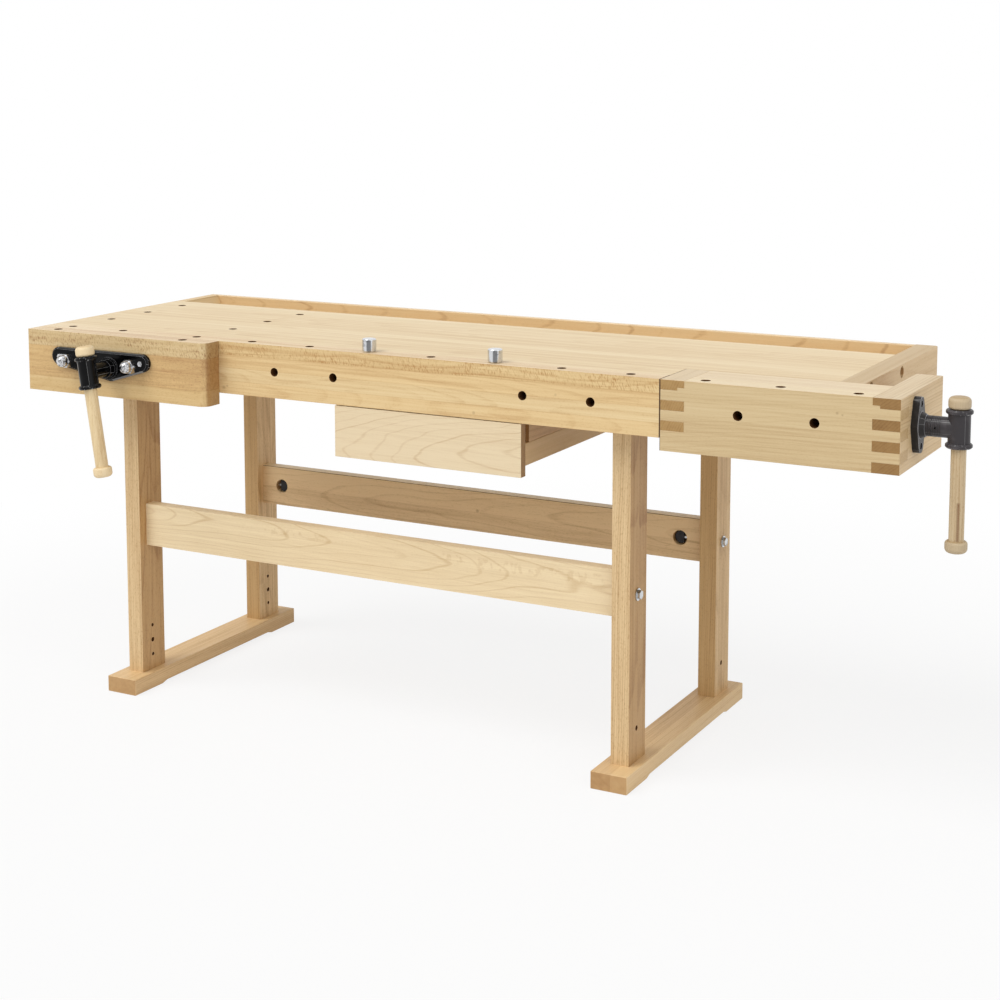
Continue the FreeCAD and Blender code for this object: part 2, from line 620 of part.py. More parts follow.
def frame_joints():
    """Each stretcher end: leg inner face, direction into the stretcher and leg row."""
    ends = []
    for leg_y in LEG_ROWS:
        ends.append((LEFT_LEG_INNER, 1, leg_y))
        ends.append((RIGHT_LEG_INNER, -1, leg_y))
    return ends


def pocket_mouth(inner_x, inward, leg_y):
    """Centre of a bolt pocket on the face of the stretcher that turns to the bench's middle."""
    x = inner_x + inward * POCKET_FROM_END
    front = leg_y + STRETCHER_SETBACK
    if leg_y == FRONT_LEG_Y:
        return Vector(x, front + STRETCHER_THICKNESS, STRETCHER_MIDDLE_Z), -1
    return Vector(x, front, STRETCHER_MIDDLE_Z), 1


def stretcher(leg_y):
    """A board between the legs with a bolt hole, dowel holes and a pocket at each end."""
    front = leg_y + STRETCHER_SETBACK
    board = block(
        (LEFT_LEG_INNER, RIGHT_LEG_INNER),
        (front, front + STRETCHER_THICKNESS),
        (STRETCHER_BOTTOM, STRETCHER_BOTTOM + STRETCHER_HEIGHT),
    )
    holes = []
    for inner_x, inward, row in frame_joints():
        if row != leg_y:
            continue
        mouth, depth_side = pocket_mouth(inner_x, inward, row)
        holes.append(rod(POCKET_RADIUS, mouth, Y_AXIS * depth_side, POCKET_DEPTH))
        bolt_start = Vector(inner_x, row + BOLT_FROM_LEG_FRONT, STRETCHER_MIDDLE_Z)
        holes.append(rod(FRAME_BOLT_RADIUS + HOLE_GAP, bolt_start, X_AXIS * inward, POCKET_FROM_END))
        for step in (-DOWEL_STEP, DOWEL_STEP):
            holes.append(rod(DOWEL_RADIUS, bolt_start + Z_AXIS * step, X_AXIS * inward, DOWEL_IN_STRETCHER))
    return drill(board, holes)


def frame_bolt_axis(inner_x, inward, leg_y):
    """The point on a leg's outer face where a frame bolt enters."""
    return Vector(inner_x - inward * LEG_WIDTH, leg_y + BOLT_FROM_LEG_FRONT, STRETCHER_MIDDLE_Z)


def half_nut_seat():
    """How far the nut's flat side lies into the stretcher."""
    return POCKET_FROM_END - HALF_NUT_THICKNESS / 2


def frame_bolts():
    """Hexagon bolts through the legs into the stretchers."""
    bolts = []
    for inner_x, inward, leg_y in frame_joints():
        entry = frame_bolt_axis(inner_x, inward, leg_y)
        axis = X_AXIS * inward
        head_seat = entry - axis * WASHER_THICKNESS
        length = WASHER_THICKNESS + LEG_WIDTH + half_nut_seat() + HALF_NUT_THICKNESS
        shank = rod(FRAME_BOLT_RADIUS, head_seat, axis, length)
        head = hexagon(FRAME_BOLT_HEAD_RADIUS, head_seat - axis * FRAME_BOLT_HEAD, axis, FRAME_BOLT_HEAD)
        bolts.append(join([shank, head]))
    return group(bolts)


def frame_washers():
    """Round washers under the heads of the frame bolts."""
    washers = []
    for inner_x, inward, leg_y in frame_joints():
        entry = frame_bolt_axis(inner_x, inward, leg_y)
        axis = X_AXIS * -inward
        washers.append(ring(WASHER_RADIUS, FRAME_BOLT_RADIUS, entry, axis, WASHER_THICKNESS))
    return group(washers)


def frame_nuts():
    """Round-backed nuts in the stretcher pockets."""
    nuts = []
    for inner_x, inward, leg_y in frame_joints():
        start = Vector(inner_x + inward * half_nut_seat(), leg_y + BOLT_FROM_LEG_FRONT, STRETCHER_MIDDLE_Z)
        mouth, depth_side = pocket_mouth(inner_x, inward, leg_y)
        floor = mouth + Y_AXIS * (depth_side * POCKET_DEPTH)
        puck = rod(HALF_NUT_RADIUS, floor, Y_AXIS * -depth_side, HALF_NUT_THICKNESS)
        slot = block(
            (start.x - HALF_NUT_THICKNESS, start.x + HALF_NUT_THICKNESS),
            (start.y - STRETCHER_THICKNESS, start.y + STRETCHER_THICKNESS),
            (start.z - HALF_NUT_RADIUS, start.z + HALF_NUT_RADIUS),
        )
        keep = slot.translated(X_AXIS * (inward * HALF_NUT_THICKNESS))
        bore = rod(FRAME_BOLT_RADIUS, start - X_AXIS * (inward * LEG_WIDTH), X_AXIS * inward, 2 * LEG_WIDTH)
        nuts.append(puck.common(keep).cut(bore))
    return group(nuts)


def frame_dowels():
    """Wooden dowels above and below each frame bolt."""
    dowels = []
    for inner_x, inward, leg_y in frame_joints():
        for step in (-DOWEL_STEP, DOWEL_STEP):
            start = Vector(
                inner_x - inward * DOWEL_IN_LEG, leg_y + BOLT_FROM_LEG_FRONT, STRETCHER_MIDDLE_Z + step
            )
            dowels.append(rod(DOWEL_RADIUS, start, X_AXIS * inward, DOWEL_IN_LEG + DOWEL_IN_STRETCHER))
    return group(dowels)


def top_screw_places():
    """Plan positions of the screws that hold the top down."""
    return [(middle, y) for middle in FOOT_MIDDLES for y in TOP_SCREW_PLACES]


def top_screws():
    """Hexagon wood screws from the bearers up into the slab."""
    screws = []
    for x, y in top_screw_places():
        seat = Vector(x, y, LEG_TOP)
        shank = rod(TOP_SCREW_RADIUS, seat, Z_AXIS, BEARER_HEIGHT + TOP_SCREW_IN_SLAB)
        head = hexagon(TOP_SCREW_HEAD_RADIUS, seat - Z_AXIS * TOP_SCREW_HEAD, Z_AXIS, TOP_SCREW_HEAD)
        screws.append(join([shank, head]))
    return group(screws)


# Vise screws
def ringed_screw(start, axis, plain, length):
    """A vise screw: a plain stretch, then one thread ring per lead up to its length."""
    pitch_count = int((length - plain) / SCREW_LEAD)
    flank = (SCREW_RADIUS - SCREW_CORE_RADIUS) * math.tan(math.radians(15))
    crest = (SCREW_LEAD - 2 * flank) / 2
    points = [(0, 0), (SCREW_RADIUS, 0), (SCREW_RADIUS, plain)]
    place = plain
    for _ in range(pitch_count):
        points.append((SCREW_CORE_RADIUS, place + flank))
        points.append((SCREW_CORE_RADIUS, place + flank + crest))
        points.append((SCREW_RADIUS, place + 2 * flank + crest))
        points.append((SCREW_RADIUS, place + SCREW_LEAD))
        place += SCREW_LEAD
    points.append((SCREW_CORE_RADIUS, place + flank))
    points.append((0, place + flank))
    side = Vector(axis.y, axis.z, axis.x)
    outline = [start + side * radius + axis * along for radius, along in points]
    profile = Part.Face(Part.makePolygon(outline + outline[:1]))
    return profile.revolve(start, axis, 360)


def hub(centre, axis, neck_start, neck_radius, handle_axis):
    """The cast hub: a neck on the screw and a rimmed sleeve across it for the handle."""
    sleeve_base = centre - handle_axis * (HUB_HEIGHT / 2)
    pieces = [rod(HUB_BODY_RADIUS, sleeve_base, handle_axis, HUB_HEIGHT)]
    for rim_base in (sleeve_base, sleeve_base + handle_axis * (HUB_HEIGHT - HUB_RIM_HEIGHT)):
        pieces.append(rim(rim_base, handle_axis))
    neck_length = (centre - neck_start).Length
    pieces.append(rod(neck_radius, neck_start, axis, neck_length))
    bore = rod(HANDLE_ROD_RADIUS + HANDLE_HOLE_GAP, sleeve_base, handle_axis, HUB_HEIGHT)
    socket_length = neck_length - HANDLE_ROD_RADIUS - HANDLE_HOLE_GAP - HUB_WALL
    socket = rod(SCREW_RADIUS, neck_start, axis, socket_length)
    groove_start = neck_start + axis * NECK_COLLAR
    groove = ring(neck_radius, neck_radius - NECK_GROOVE_DEPTH, groove_start, axis, NECK_GROOVE_WIDTH)
    pin_side = axis.cross(handle_axis)
    pin_start = neck_start + axis * PIN_FROM_NECK + pin_side * (neck_radius - PIN_DEPTH)
    pin_hole = rod(PIN_RADIUS, pin_start, pin_side, PIN_DEPTH)
    return drill(join(pieces), [bore, socket, groove, pin_hole])


def rim(base, axis):
    """One chamfered rim of a hub sleeve."""
    chamfer = HUB_RIM_CHAMFER
    inner = HUB_RIM_RADIUS - chamfer
    middle_length = HUB_RIM_HEIGHT - 2 * chamfer
    lower = cone(inner, HUB_RIM_RADIUS, base, axis, chamfer)
    middle = rod(HUB_RIM_RADIUS, base + axis * chamfer, axis, middle_length)
    upper = cone(HUB_RIM_RADIUS, inner, base + axis * (chamfer + middle_length), axis, chamfer)
    return join([lower, middle, upper])


def knob_bases():
    """Where the upper and the lower knob begin, along the handle from the hub's centre."""
    upper = HUB_HEIGHT / 2 + RUN_GAP
    return (upper, upper + KNOB_HEIGHT - HANDLE_LENGTH)


def handle_rod(centre, axis):
    """The wooden handle bar, let into a knob at each end."""
    upper, lower = knob_bases()
    start = lower + KNOB_HEIGHT - KNOB_SOCKET
    return rod(HANDLE_ROD_RADIUS, centre + axis * start, axis, upper + KNOB_SOCKET - start)


def handle_knobs(centre, axis):
    """The two turned knobs at the ends of a handle."""
    knobs = []
    for base in knob_bases():
        knob = rod(KNOB_RADIUS, centre + axis * base, axis, KNOB_HEIGHT)
        round_edges = [edge for edge in knob.Edges if abs(edge.Length - 2 * math.pi * KNOB_RADIUS) < 1]
        knobs.append(knob.makeFillet(KNOB_ROUND, round_edges).cut(handle_rod(centre, axis)))
    return group(knobs)


def nut_casting(face_point, axis, width_axis):
    """A vise nut: a screwed-on plate with a round boss and a plain running bore."""
    up = Z_AXIS
    corner = face_point - width_axis * (NUT_PLATE_WIDTH / 2) - up * (NUT_PLATE_HEIGHT / 2)
    corners = [
        corner,
        corner + width_axis * NUT_PLATE_WIDTH,
        corner + width_axis * NUT_PLATE_WIDTH + up * NUT_PLATE_HEIGHT,
        corner + up * NUT_PLATE_HEIGHT,
    ]
    plate = prism(corners, axis * NUT_PLATE_THICKNESS)
    boss = rod(NUT_BOSS_RADIUS, face_point, axis, NUT_PLATE_THICKNESS + NUT_BOSS_LENGTH)
    bore = rod(SCREW_RADIUS + SHAFT_GAP, face_point, axis, NUT_PLATE_THICKNESS + NUT_BOSS_LENGTH)
    holes = [bore]
    for place in nut_screw_offsets(width_axis):
        holes.append(rod(NUT_SCREW_RADIUS, face_point + place, axis, NUT_PLATE_THICKNESS))
    return drill(join([plate, boss]), holes)


def nut_screw_offsets(width_axis):
    """Places of the four screws in a nut plate, from the screw axis."""
    half = NUT_SCREW_SPAN / 2
    return [width_axis * (half * i) + Z_AXIS * (half * j) for i in (-1, 1) for j in (-1, 1)]


def vise_nut_screws():
    """The four wood screws that hold each vise nut."""
    screws = []
    nuts = ((front_nut_face(), Y_AXIS, X_AXIS), (tail_nut_face(), X_AXIS, Y_AXIS))
    for face_point, axis, width_axis in nuts:
        for place in nut_screw_offsets(width_axis):
            seat = face_point + place + axis * NUT_PLATE_THICKNESS
            length = NUT_SCREW_IN_WOOD + NUT_PLATE_THICKNESS
            shank = rod(NUT_SCREW_RADIUS, seat - axis * length, axis, length)
            head = cone(NUT_SCREW_HEAD_RADIUS, NUT_SCREW_RADIUS, seat, axis, NUT_SCREW_HEAD)
            screws.append(join([shank, head]))
    return group(screws)


def nut_screw_shanks(face_point, axis, width_axis):
    """Cutters for the nut screws in the wood behind the plate."""
    cutters = []
    for place in nut_screw_offsets(width_axis):
        start = face_point + place - axis * NUT_SCREW_IN_WOOD
        cutters.append(rod(NUT_SCREW_RADIUS, start, axis, NUT_SCREW_IN_WOOD))
    return cutters


# Front vise
def front_nut_face():
    """Where the front vise's nut sits on the back of the apron."""
    return Vector(FRONT_SCREW_X, APRON_THICKNESS, FRONT_SCREW_Z)


def front_nut_screw_shanks():
    """Cutters in the apron for the front nut's screws."""
    return nut_screw_shanks(front_nut_face(), Y_AXIS, X_AXIS)


def front_handle_axis():
    """Direction of the front handle, from its lower to its upper end."""
    tilt = math.radians(FRONT_HANDLE_TILT)
    return Vector(-math.sin(tilt), 0, math.cos(tilt))


def front_hub_centre():
    """Where the front handle crosses the screw axis."""
    return Vector(FRONT_SCREW_X, FRONT_HUB_Y, FRONT_SCREW_Z)


def front_jaw():
    """The long front jaw with a rounded right edge, dog holes and rod holes."""
    board = block((0, JAW_LENGTH), (JAW_FRONT, JAW_BACK), (TOP_HEIGHT - JAW_HEIGHT, TOP_HEIGHT))
    corner = edges_where(board, lambda p: p.x > JAW_LENGTH - 1 and p.y < JAW_FRONT + 1 and p.z > 1)
    upright = [edge for edge in corner if abs(edge.Length - JAW_HEIGHT) < 1]
    board = board.makeFillet(JAW_ROUND, upright)
    middle = (JAW_FRONT + JAW_BACK) / 2
    holes = [dog_hole(x, middle, TOP_HEIGHT - JAW_HEIGHT) for x in (LEFT_COLUMN, FIRST_COLUMN)]
    screw_start = Vector(FRONT_SCREW_X, JAW_FRONT, FRONT_SCREW_Z)
    holes.append(rod(SCREW_RADIUS + SHAFT_GAP, screw_start, Y_AXIS, JAW_THICKNESS))
    for x in ROD_PLACES:
        holes.append(rod(ROD_RADIUS, Vector(x, JAW_FRONT, ROD_Z), Y_AXIS, JAW_THICKNESS))
    for place in plate_screw_places():
        holes.append(rod(PLATE_SCREW_RADIUS, place, Y_AXIS, PLATE_SCREW_IN_JAW))
    return drill(board, holes)


def plate_screw_places():
    """Centres of the plate's screws on the jaw's front face."""
    level = FRONT_SCREW_Z + PLATE_LOBE_LIFT
    places = (FRONT_SCREW_X - PLATE_LEFT_SCREW, FRONT_SCREW_X + PLATE_RIGHT_SCREW)
    return [Vector(x, JAW_FRONT, level) for x in places]


def tangent_outline(circles, y):
    """The closed outline round circles given in order, as tangent lines and arcs."""
    count = len(circles)
    leaving = []
    arriving = [None] * count
    for index in range(count):
        (ax, az, ar) = circles[index]
        (bx, bz, br) = circles[(index + 1) % count]
        span = math.hypot(bx - ax, bz - az)
        heading = math.atan2(bz - az, bx - ax)
        normal = heading - math.pi / 2 - math.asin((br - ar) / span)
        leaving.append((ax + ar * math.cos(normal), az + ar * math.sin(normal), normal))
        arriving[(index + 1) % count] = (bx + br * math.cos(normal), bz + br * math.sin(normal), normal)
    edges = []
    for index in range(count):
        (cx, cz, radius) = circles[index]
        (sx, sz, start_turn) = arriving[index]
        (ex, ez, end_turn) = leaving[index]
        while end_turn < start_turn:
            end_turn += 2 * math.pi
        half = (start_turn + end_turn) / 2
        middle = Vector(cx + radius * math.cos(half), y, cz + radius * math.sin(half))
        edges.append(Part.Arc(Vector(sx, y, sz), middle, Vector(ex, y, ez)).toShape())
        (nx, nz, _) = arriving[(index + 1) % count]
        edges.append(Part.LineSegment(Vector(ex, y, ez), Vector(nx, y, nz)).toShape())
    return Part.Wire(edges)


def front_plate():
    """The cast plate: two lobes and a stepped round boss, with a bevelled rim."""
    lobe_level = FRONT_SCREW_Z + PLATE_LOBE_LIFT
    left = (FRONT_SCREW_X - PLATE_LEFT_LOBE, lobe_level, PLATE_LOBE_RADIUS)
    right = (FRONT_SCREW_X + PLATE_RIGHT_LOBE, lobe_level, PLATE_LOBE_RADIUS)
    boss = (FRONT_SCREW_X, FRONT_SCREW_Z, PLATE_BOSS_RADIUS)
    outline = tangent_outline([left, boss, right], JAW_FRONT)
    casting = Part.Face(outline).extrude(Vector(0, -PLATE_THICKNESS, 0))
    rim_edges = edges_where(casting, lambda p: p.y < PLATE_FRONT + 0.01)
    casting = casting.makeChamfer(PLATE_BEVEL, rim_edges)
    step_start = Vector(FRONT_SCREW_X, PLATE_FRONT, FRONT_SCREW_Z)
    step = rod(STEP_RADIUS, step_start, Y_AXIS * -1, STEP_LENGTH)
    boss_ring = rod(RING_RADIUS, step_start, Y_AXIS * -1, RING_LENGTH)
    casting = join([casting, step, boss_ring])
    depth = PLATE_THICKNESS + RING_LENGTH
    holes = [rod(SCREW_RADIUS + SHAFT_GAP, step_start - Y_AXIS * RING_LENGTH, Y_AXIS, depth)]
    for x in ROD_PLACES:
        holes.append(rod(ROD_RADIUS, Vector(x, PLATE_FRONT, ROD_Z), Y_AXIS, PLATE_THICKNESS))
    for place in plate_screw_places():
        holes.append(rod(PLATE_SCREW_RADIUS, place, Y_AXIS * -1, PLATE_THICKNESS))
    return drill(casting, holes)


def front_plate_screws():
    """Hexagon screws through the lobes of the plate."""
    screws = []
    for place in plate_screw_places():
        seat = place - Y_AXIS * PLATE_THICKNESS
        shank = rod(PLATE_SCREW_RADIUS, seat, Y_AXIS, PLATE_THICKNESS + PLATE_SCREW_IN_JAW)
        head = hexagon(PLATE_SCREW_HEAD_RADIUS, seat - Y_AXIS * PLATE_SCREW_HEAD, Y_AXIS, PLATE_SCREW_HEAD)
        screws.append(join([shank, head]))
    return group(screws)


def front_guide_rods():
    """The two guide rods of the jaw, each with a head that stops it behind its bush."""
    rods = []
    for x in ROD_PLACES:
        start = Vector(x, PLATE_FRONT - CAP_NUT_HEX, ROD_Z)
        shaft = rod(ROD_RADIUS, start, Y_AXIS, ROD_BACK + ROD_HEAD_LENGTH - start.y)
        head = rod(ROD_HEAD_RADIUS, Vector(x, ROD_BACK, ROD_Z), Y_AXIS, ROD_HEAD_LENGTH)
        rods.append(join([shaft, head]))
    return group(rods)


def front_cap_nuts():
    """Domed nuts that hold the guide rods to the plate."""
    nuts = []
    for x in ROD_PLACES:
        hex_front = Vector(x, PLATE_FRONT - CAP_NUT_HEX, ROD_Z)
        dome_centre = hex_front - Y_AXIS * CAP_NUT_NECK
        pieces = [
            hexagon(CAP_NUT_RADIUS, hex_front, Y_AXIS, CAP_NUT_HEX),
            rod(CAP_NUT_DOME_RADIUS, dome_centre, Y_AXIS, CAP_NUT_NECK),
            Part.makeSphere(CAP_NUT_DOME_RADIUS, dome_centre, Y_AXIS * -1, 0, 90, 360),
        ]
        hole = rod(ROD_RADIUS, hex_front, Y_AXIS, CAP_NUT_HEX)
        nuts.append(join(pieces).cut(hole))
    return group(nuts)


def front_rod_bushes():
    """Flanged bushes in the apron that the guide rods run in."""
    bushes = []
    for x in ROD_PLACES:
        start = Vector(x, 0, ROD_Z)
        sleeve = rod(ROD_RADIUS + BUSH_WALL, start, Y_AXIS, APRON_THICKNESS)
        flange = rod(BUSH_FLANGE_RADIUS, Vector(x, APRON_THICKNESS, ROD_Z), Y_AXIS, BUSH_FLANGE)
        bore = rod(ROD_RADIUS + SHAFT_GAP, start, Y_AXIS, APRON_THICKNESS + BUSH_FLANGE)
        bushes.append(join([sleeve, flange]).cut(bore))
    return group(bushes)


def front_screw():
    """The front vise screw, from inside the hub to behind the apron."""
    start_y = FRONT_HUB_Y + HANDLE_ROD_RADIUS + HANDLE_HOLE_GAP + HUB_WALL
    plain = JAW_BACK + COLLAR_LENGTH - start_y
    start = Vector(FRONT_SCREW_X, start_y, FRONT_SCREW_Z)
    return ringed_screw(start, Y_AXIS, plain, FRONT_SCREW_BACK - start_y)


def front_hub():
    """The hub on the front screw."""
    neck_start = Vector(FRONT_SCREW_X, PLATE_FRONT - RING_LENGTH - RUN_GAP, FRONT_SCREW_Z)
    return hub(front_hub_centre(), Y_AXIS * -1, neck_start, FRONT_NECK_RADIUS, front_handle_axis())


def front_collar():
    """The collar behind the jaw that pulls it back when the screw is opened."""
    start = Vector(FRONT_SCREW_X, JAW_BACK + RUN_GAP, FRONT_SCREW_Z)
    return ring(COLLAR_RADIUS, SCREW_RADIUS, start, Y_AXIS, COLLAR_LENGTH - RUN_GAP)


# Tail vise
def tail_nut_face():
    """Where the tail vise's nut sits on the outer face of the end cap's tongue."""
    return Vector(BENCH_LENGTH, TAIL_SCREW_DEPTH, TAIL_SCREW_Z)


def tail_nut_screw_shanks():
    """Cutters in the end cap for the tail nut's screws."""
    return nut_screw_shanks(tail_nut_face(), X_AXIS, Y_AXIS)


def tail_hub_centre():
    """Where the tail handle crosses the screw axis."""
    return Vector(TAIL_HUB_X, TAIL_SCREW_DEPTH, TAIL_SCREW_Z)


def finger_height():
    """Height of one finger of the corner joints."""
    return TAIL_HEIGHT / FINGERS


def finger_block(x_range, index):
    """One finger, counted from the top."""
    upper = TOP_HEIGHT - index * finger_height()
    return block(x_range, (0, APRON_THICKNESS), (upper - finger_height(), upper))


def stepped_fingers(x_range, count, inner_side):
    """Every other finger from the top, the first one stepped at its inner lower corner."""
    fingers = [finger_block(x_range, index) for index in range(0, count, 2)]
    inner = x_range[1] if inner_side > 0 else x_range[0]
    low = TOP_HEIGHT - finger_height()
    step = block(
        sorted((inner, inner - inner_side * FINGER_STEP_LENGTH)),
        (0, APRON_THICKNESS),
        (low, low + FINGER_STEP_HEIGHT),
    )
    fingers[0] = fingers[0].cut(step)
    return fingers


def right_fingers():
    """Fingers of the end block through the front board."""
    return stepped_fingers((END_BLOCK_LEFT, TAIL_END_FACE), FINGERS, -1)


def left_fingers():
    """Fingers of the left block through the front board, within the apron's height."""
    count = int(APRON_HEIGHT / finger_height())
    return stepped_fingers((TAIL_LEFT, TAIL_LEFT + LEFT_BLOCK_THICKNESS), count, 1)


def tail_front_board():
    """The front board of the tail vise, with fingers at both ends and dog holes."""
    board = block((TAIL_LEFT, TAIL_END_FACE), (0, APRON_THICKNESS), (TAIL_BOTTOM, TOP_HEIGHT))
    holes = [dog_hole(x, DOG_ROW_DEPTH, TAIL_BOTTOM) for x in tail_columns()]
    for x in tail_columns()[:-1]:
        holes.append(face_hole(x + DOG_PITCH / 2, APRON_THICKNESS))
    return drill(board, right_fingers() + left_fingers() + holes)


def tail_end_block():
    """The end block that the flange sits on, with fingers into the front board."""
    body = block(
        (END_BLOCK_LEFT, TAIL_END_FACE), (APRON_THICKNESS, END_BLOCK_DEPTH), (TAIL_BOTTOM, TOP_HEIGHT)
    )
    screw_start = Vector(END_BLOCK_LEFT, TAIL_SCREW_DEPTH, TAIL_SCREW_Z)
    holes = [rod(SCREW_RADIUS + SHAFT_GAP, screw_start, X_AXIS, END_BLOCK_THICKNESS)]
    for offset in flange_bolt_offsets():
        start = Vector(TAIL_END_FACE - FLANGE_BOLT_IN_BLOCK, TAIL_SCREW_DEPTH, TAIL_SCREW_Z + offset)
        holes.append(rod(FLANGE_BOLT_RADIUS, start, X_AXIS, FLANGE_BOLT_IN_BLOCK))
    return drill(join([body] + right_fingers()), holes)


def tail_left_block():
    """The block at the left face of the tail vise, grooved for the guide rail."""
    x_range = (TAIL_LEFT, TAIL_LEFT + LEFT_BLOCK_THICKNESS)
    body = block(x_range, (APRON_THICKNESS, TAIL_BACK), (APRON_BOTTOM, TOP_HEIGHT))
    groove = block(
        x_range,
        (GUIDE_RAIL_FRONT - RUN_GAP, TAIL_BACK),
        (GUIDE_RAIL_BOTTOM - RUN_GAP, GUIDE_RAIL_TOP + RUN_GAP),
    )
    return join([body] + left_fingers()).cut(groove)


def tail_top_plate():
    """The board that covers the screw between the two blocks."""
    return block(
        (TAIL_LEFT + LEFT_BLOCK_THICKNESS, END_BLOCK_LEFT),
        (APRON_THICKNESS, TAIL_BACK),
        (TAIL_TOP_UNDERSIDE, TOP_HEIGHT),
    )


def tail_guide_board():
    """The angle board under the top plate that hooks under the guide rail."""
    x_range = (GUIDE_BOARD_LEFT, GUIDE_BOARD_LEFT + GUIDE_BOARD_LENGTH)
    shelf_top = GUIDE_RAIL_BOTTOM - RUN_GAP
    shelf_bottom = shelf_top - GUIDE_SHELF_THICKNESS
    web_back = GUIDE_RAIL_FRONT - RUN_GAP
    web = block(x_range, (web_back - GUIDE_WEB, web_back), (shelf_bottom, TAIL_TOP_UNDERSIDE))
    shelf = block(x_range, (web_back, TAIL_BACK), (shelf_bottom, shelf_top))
    return join([web, shelf])


def tail_guide_rail():
    """The rail let into the slab's edge that the tail vise's top plate rides on."""
    return block(
        (SEAM, END_CAP_LEFT),
        (GUIDE_RAIL_FRONT, TAIL_DEPTH + GUIDE_RAIL_IN_SLAB),
        (GUIDE_RAIL_BOTTOM, GUIDE_RAIL_TOP),
    )


def flange_bolt_offsets():
    """Flange bolts above and below the screw axis."""
    return (-FLANGE_BOLT_SPAN / 2, FLANGE_BOLT_SPAN / 2)


def tail_flange():
    """The oval cast flange with a cone towards the hub."""
    end = FLANGE_HEIGHT / 2 - FLANGE_END_RADIUS
    circles = [
        (TAIL_SCREW_DEPTH, TAIL_SCREW_Z - end, FLANGE_END_RADIUS),
        (TAIL_SCREW_DEPTH, TAIL_SCREW_Z, FLANGE_WIDTH / 2),
        (TAIL_SCREW_DEPTH, TAIL_SCREW_Z + end, FLANGE_END_RADIUS),
        (TAIL_SCREW_DEPTH, TAIL_SCREW_Z, FLANGE_WIDTH / 2),
    ]
    outline = tangent_outline(circles, 0)
    outline.rotate(Vector(0, 0, 0), Z_AXIS, 90)
    outline.translate(Vector(TAIL_END_FACE, 0, 0))
    plate = Part.Face(outline).extrude(X_AXIS * FLANGE_THICKNESS)
    cone_start = Vector(TAIL_END_FACE + FLANGE_THICKNESS, TAIL_SCREW_DEPTH, TAIL_SCREW_Z)
    wide = FLANGE_WIDTH / 2 - 1
    taper = cone(wide, TAIL_NECK_RADIUS + 1, cone_start, X_AXIS, FLANGE_CONE_LENGTH)
    length = FLANGE_THICKNESS + FLANGE_CONE_LENGTH
    start = Vector(TAIL_END_FACE, TAIL_SCREW_DEPTH, TAIL_SCREW_Z)
    holes = [rod(SCREW_RADIUS + SHAFT_GAP, start, X_AXIS, length)]
    for offset in flange_bolt_offsets():
        holes.append(rod(FLANGE_BOLT_RADIUS, start + Z_AXIS * offset, X_AXIS, FLANGE_THICKNESS))
        sink = start + Z_AXIS * offset + X_AXIS * (FLANGE_THICKNESS - FLANGE_BOLT_HEAD)
        holes.append(rod(FLANGE_BOLT_HEAD_RADIUS + HOLE_GAP, sink, X_AXIS, FLANGE_BOLT_HEAD))
    return drill(join([plate, taper]), holes)


def tail_flange_bolts():
    """Sunk screws that hold the flange to the end block."""
    bolts = []
    for offset in flange_bolt_offsets():
        seat_x = TAIL_END_FACE + FLANGE_THICKNESS - FLANGE_BOLT_HEAD
        seat = Vector(seat_x, TAIL_SCREW_DEPTH, TAIL_SCREW_Z + offset)
        length = FLANGE_BOLT_IN_BLOCK + FLANGE_THICKNESS - FLANGE_BOLT_HEAD
        shank = rod(FLANGE_BOLT_RADIUS, seat - X_AXIS * length, X_AXIS, length)
        head = rod(FLANGE_BOLT_HEAD_RADIUS, seat, X_AXIS, FLANGE_BOLT_HEAD - 2)
        bolts.append(join([shank, head]))
    return group(bolts)


def tail_screw():
    """The tail vise screw, from inside the hub to inside the vise."""
    start_x = TAIL_HUB_X - HANDLE_ROD_RADIUS - HANDLE_HOLE_GAP - HUB_WALL
    start = Vector(start_x, TAIL_SCREW_DEPTH, TAIL_SCREW_Z)
    plain = start_x - END_BLOCK_LEFT + COLLAR_LENGTH
    length = start_x - END_BLOCK_LEFT + TAIL_SCREW_INSIDE
    return ringed_screw(start, X_AXIS * -1, plain, length)


def tail_hub():
    """The hub on the tail screw."""
    neck_x = TAIL_END_FACE + FLANGE_THICKNESS + FLANGE_CONE_LENGTH + RUN_GAP
    neck_start = Vector(neck_x, TAIL_SCREW_DEPTH, TAIL_SCREW_Z)
    return hub(tail_hub_centre(), X_AXIS, neck_start, TAIL_NECK_RADIUS, Z_AXIS)


def tail_collar():
    """The collar inside the end block that pulls the vise open."""
    start = Vector(END_BLOCK_LEFT - COLLAR_LENGTH, TAIL_SCREW_DEPTH, TAIL_SCREW_Z)
    return ring(COLLAR_RADIUS, SCREW_RADIUS, start, X_AXIS, COLLAR_LENGTH - RUN_GAP)


# Drawer
def drawer_front():
    """The drawer's front panel."""
    return block(
        (DRAWER_LEFT, DRAWER_LEFT + DRAWER_WIDTH),
        (DRAWER_FACE, DRAWER_INSIDE_FRONT),
        (DRAWER_BOTTOM_EDGE, DRAWER_TOP),
    ).cut(drawer_bottom_slab())


def drawer_bottom_slab():
    """The drawer's bottom board, set in grooves in the front and the sides."""
    low = DRAWER_SIDE_BOTTOM + DRAWER_BOTTOM_LIFT
    return block(
        (
            DRAWER_LEFT_FACE + DRAWER_SIDE_THICKNESS - GROOVE_DEPTH,
            DRAWER_RIGHT_FACE - DRAWER_SIDE_THICKNESS + GROOVE_DEPTH,
        ),
        (DRAWER_INSIDE_FRONT - GROOVE_DEPTH, DRAWER_BACK),
        (low, low + DRAWER_BOTTOM_THICKNESS),
    )


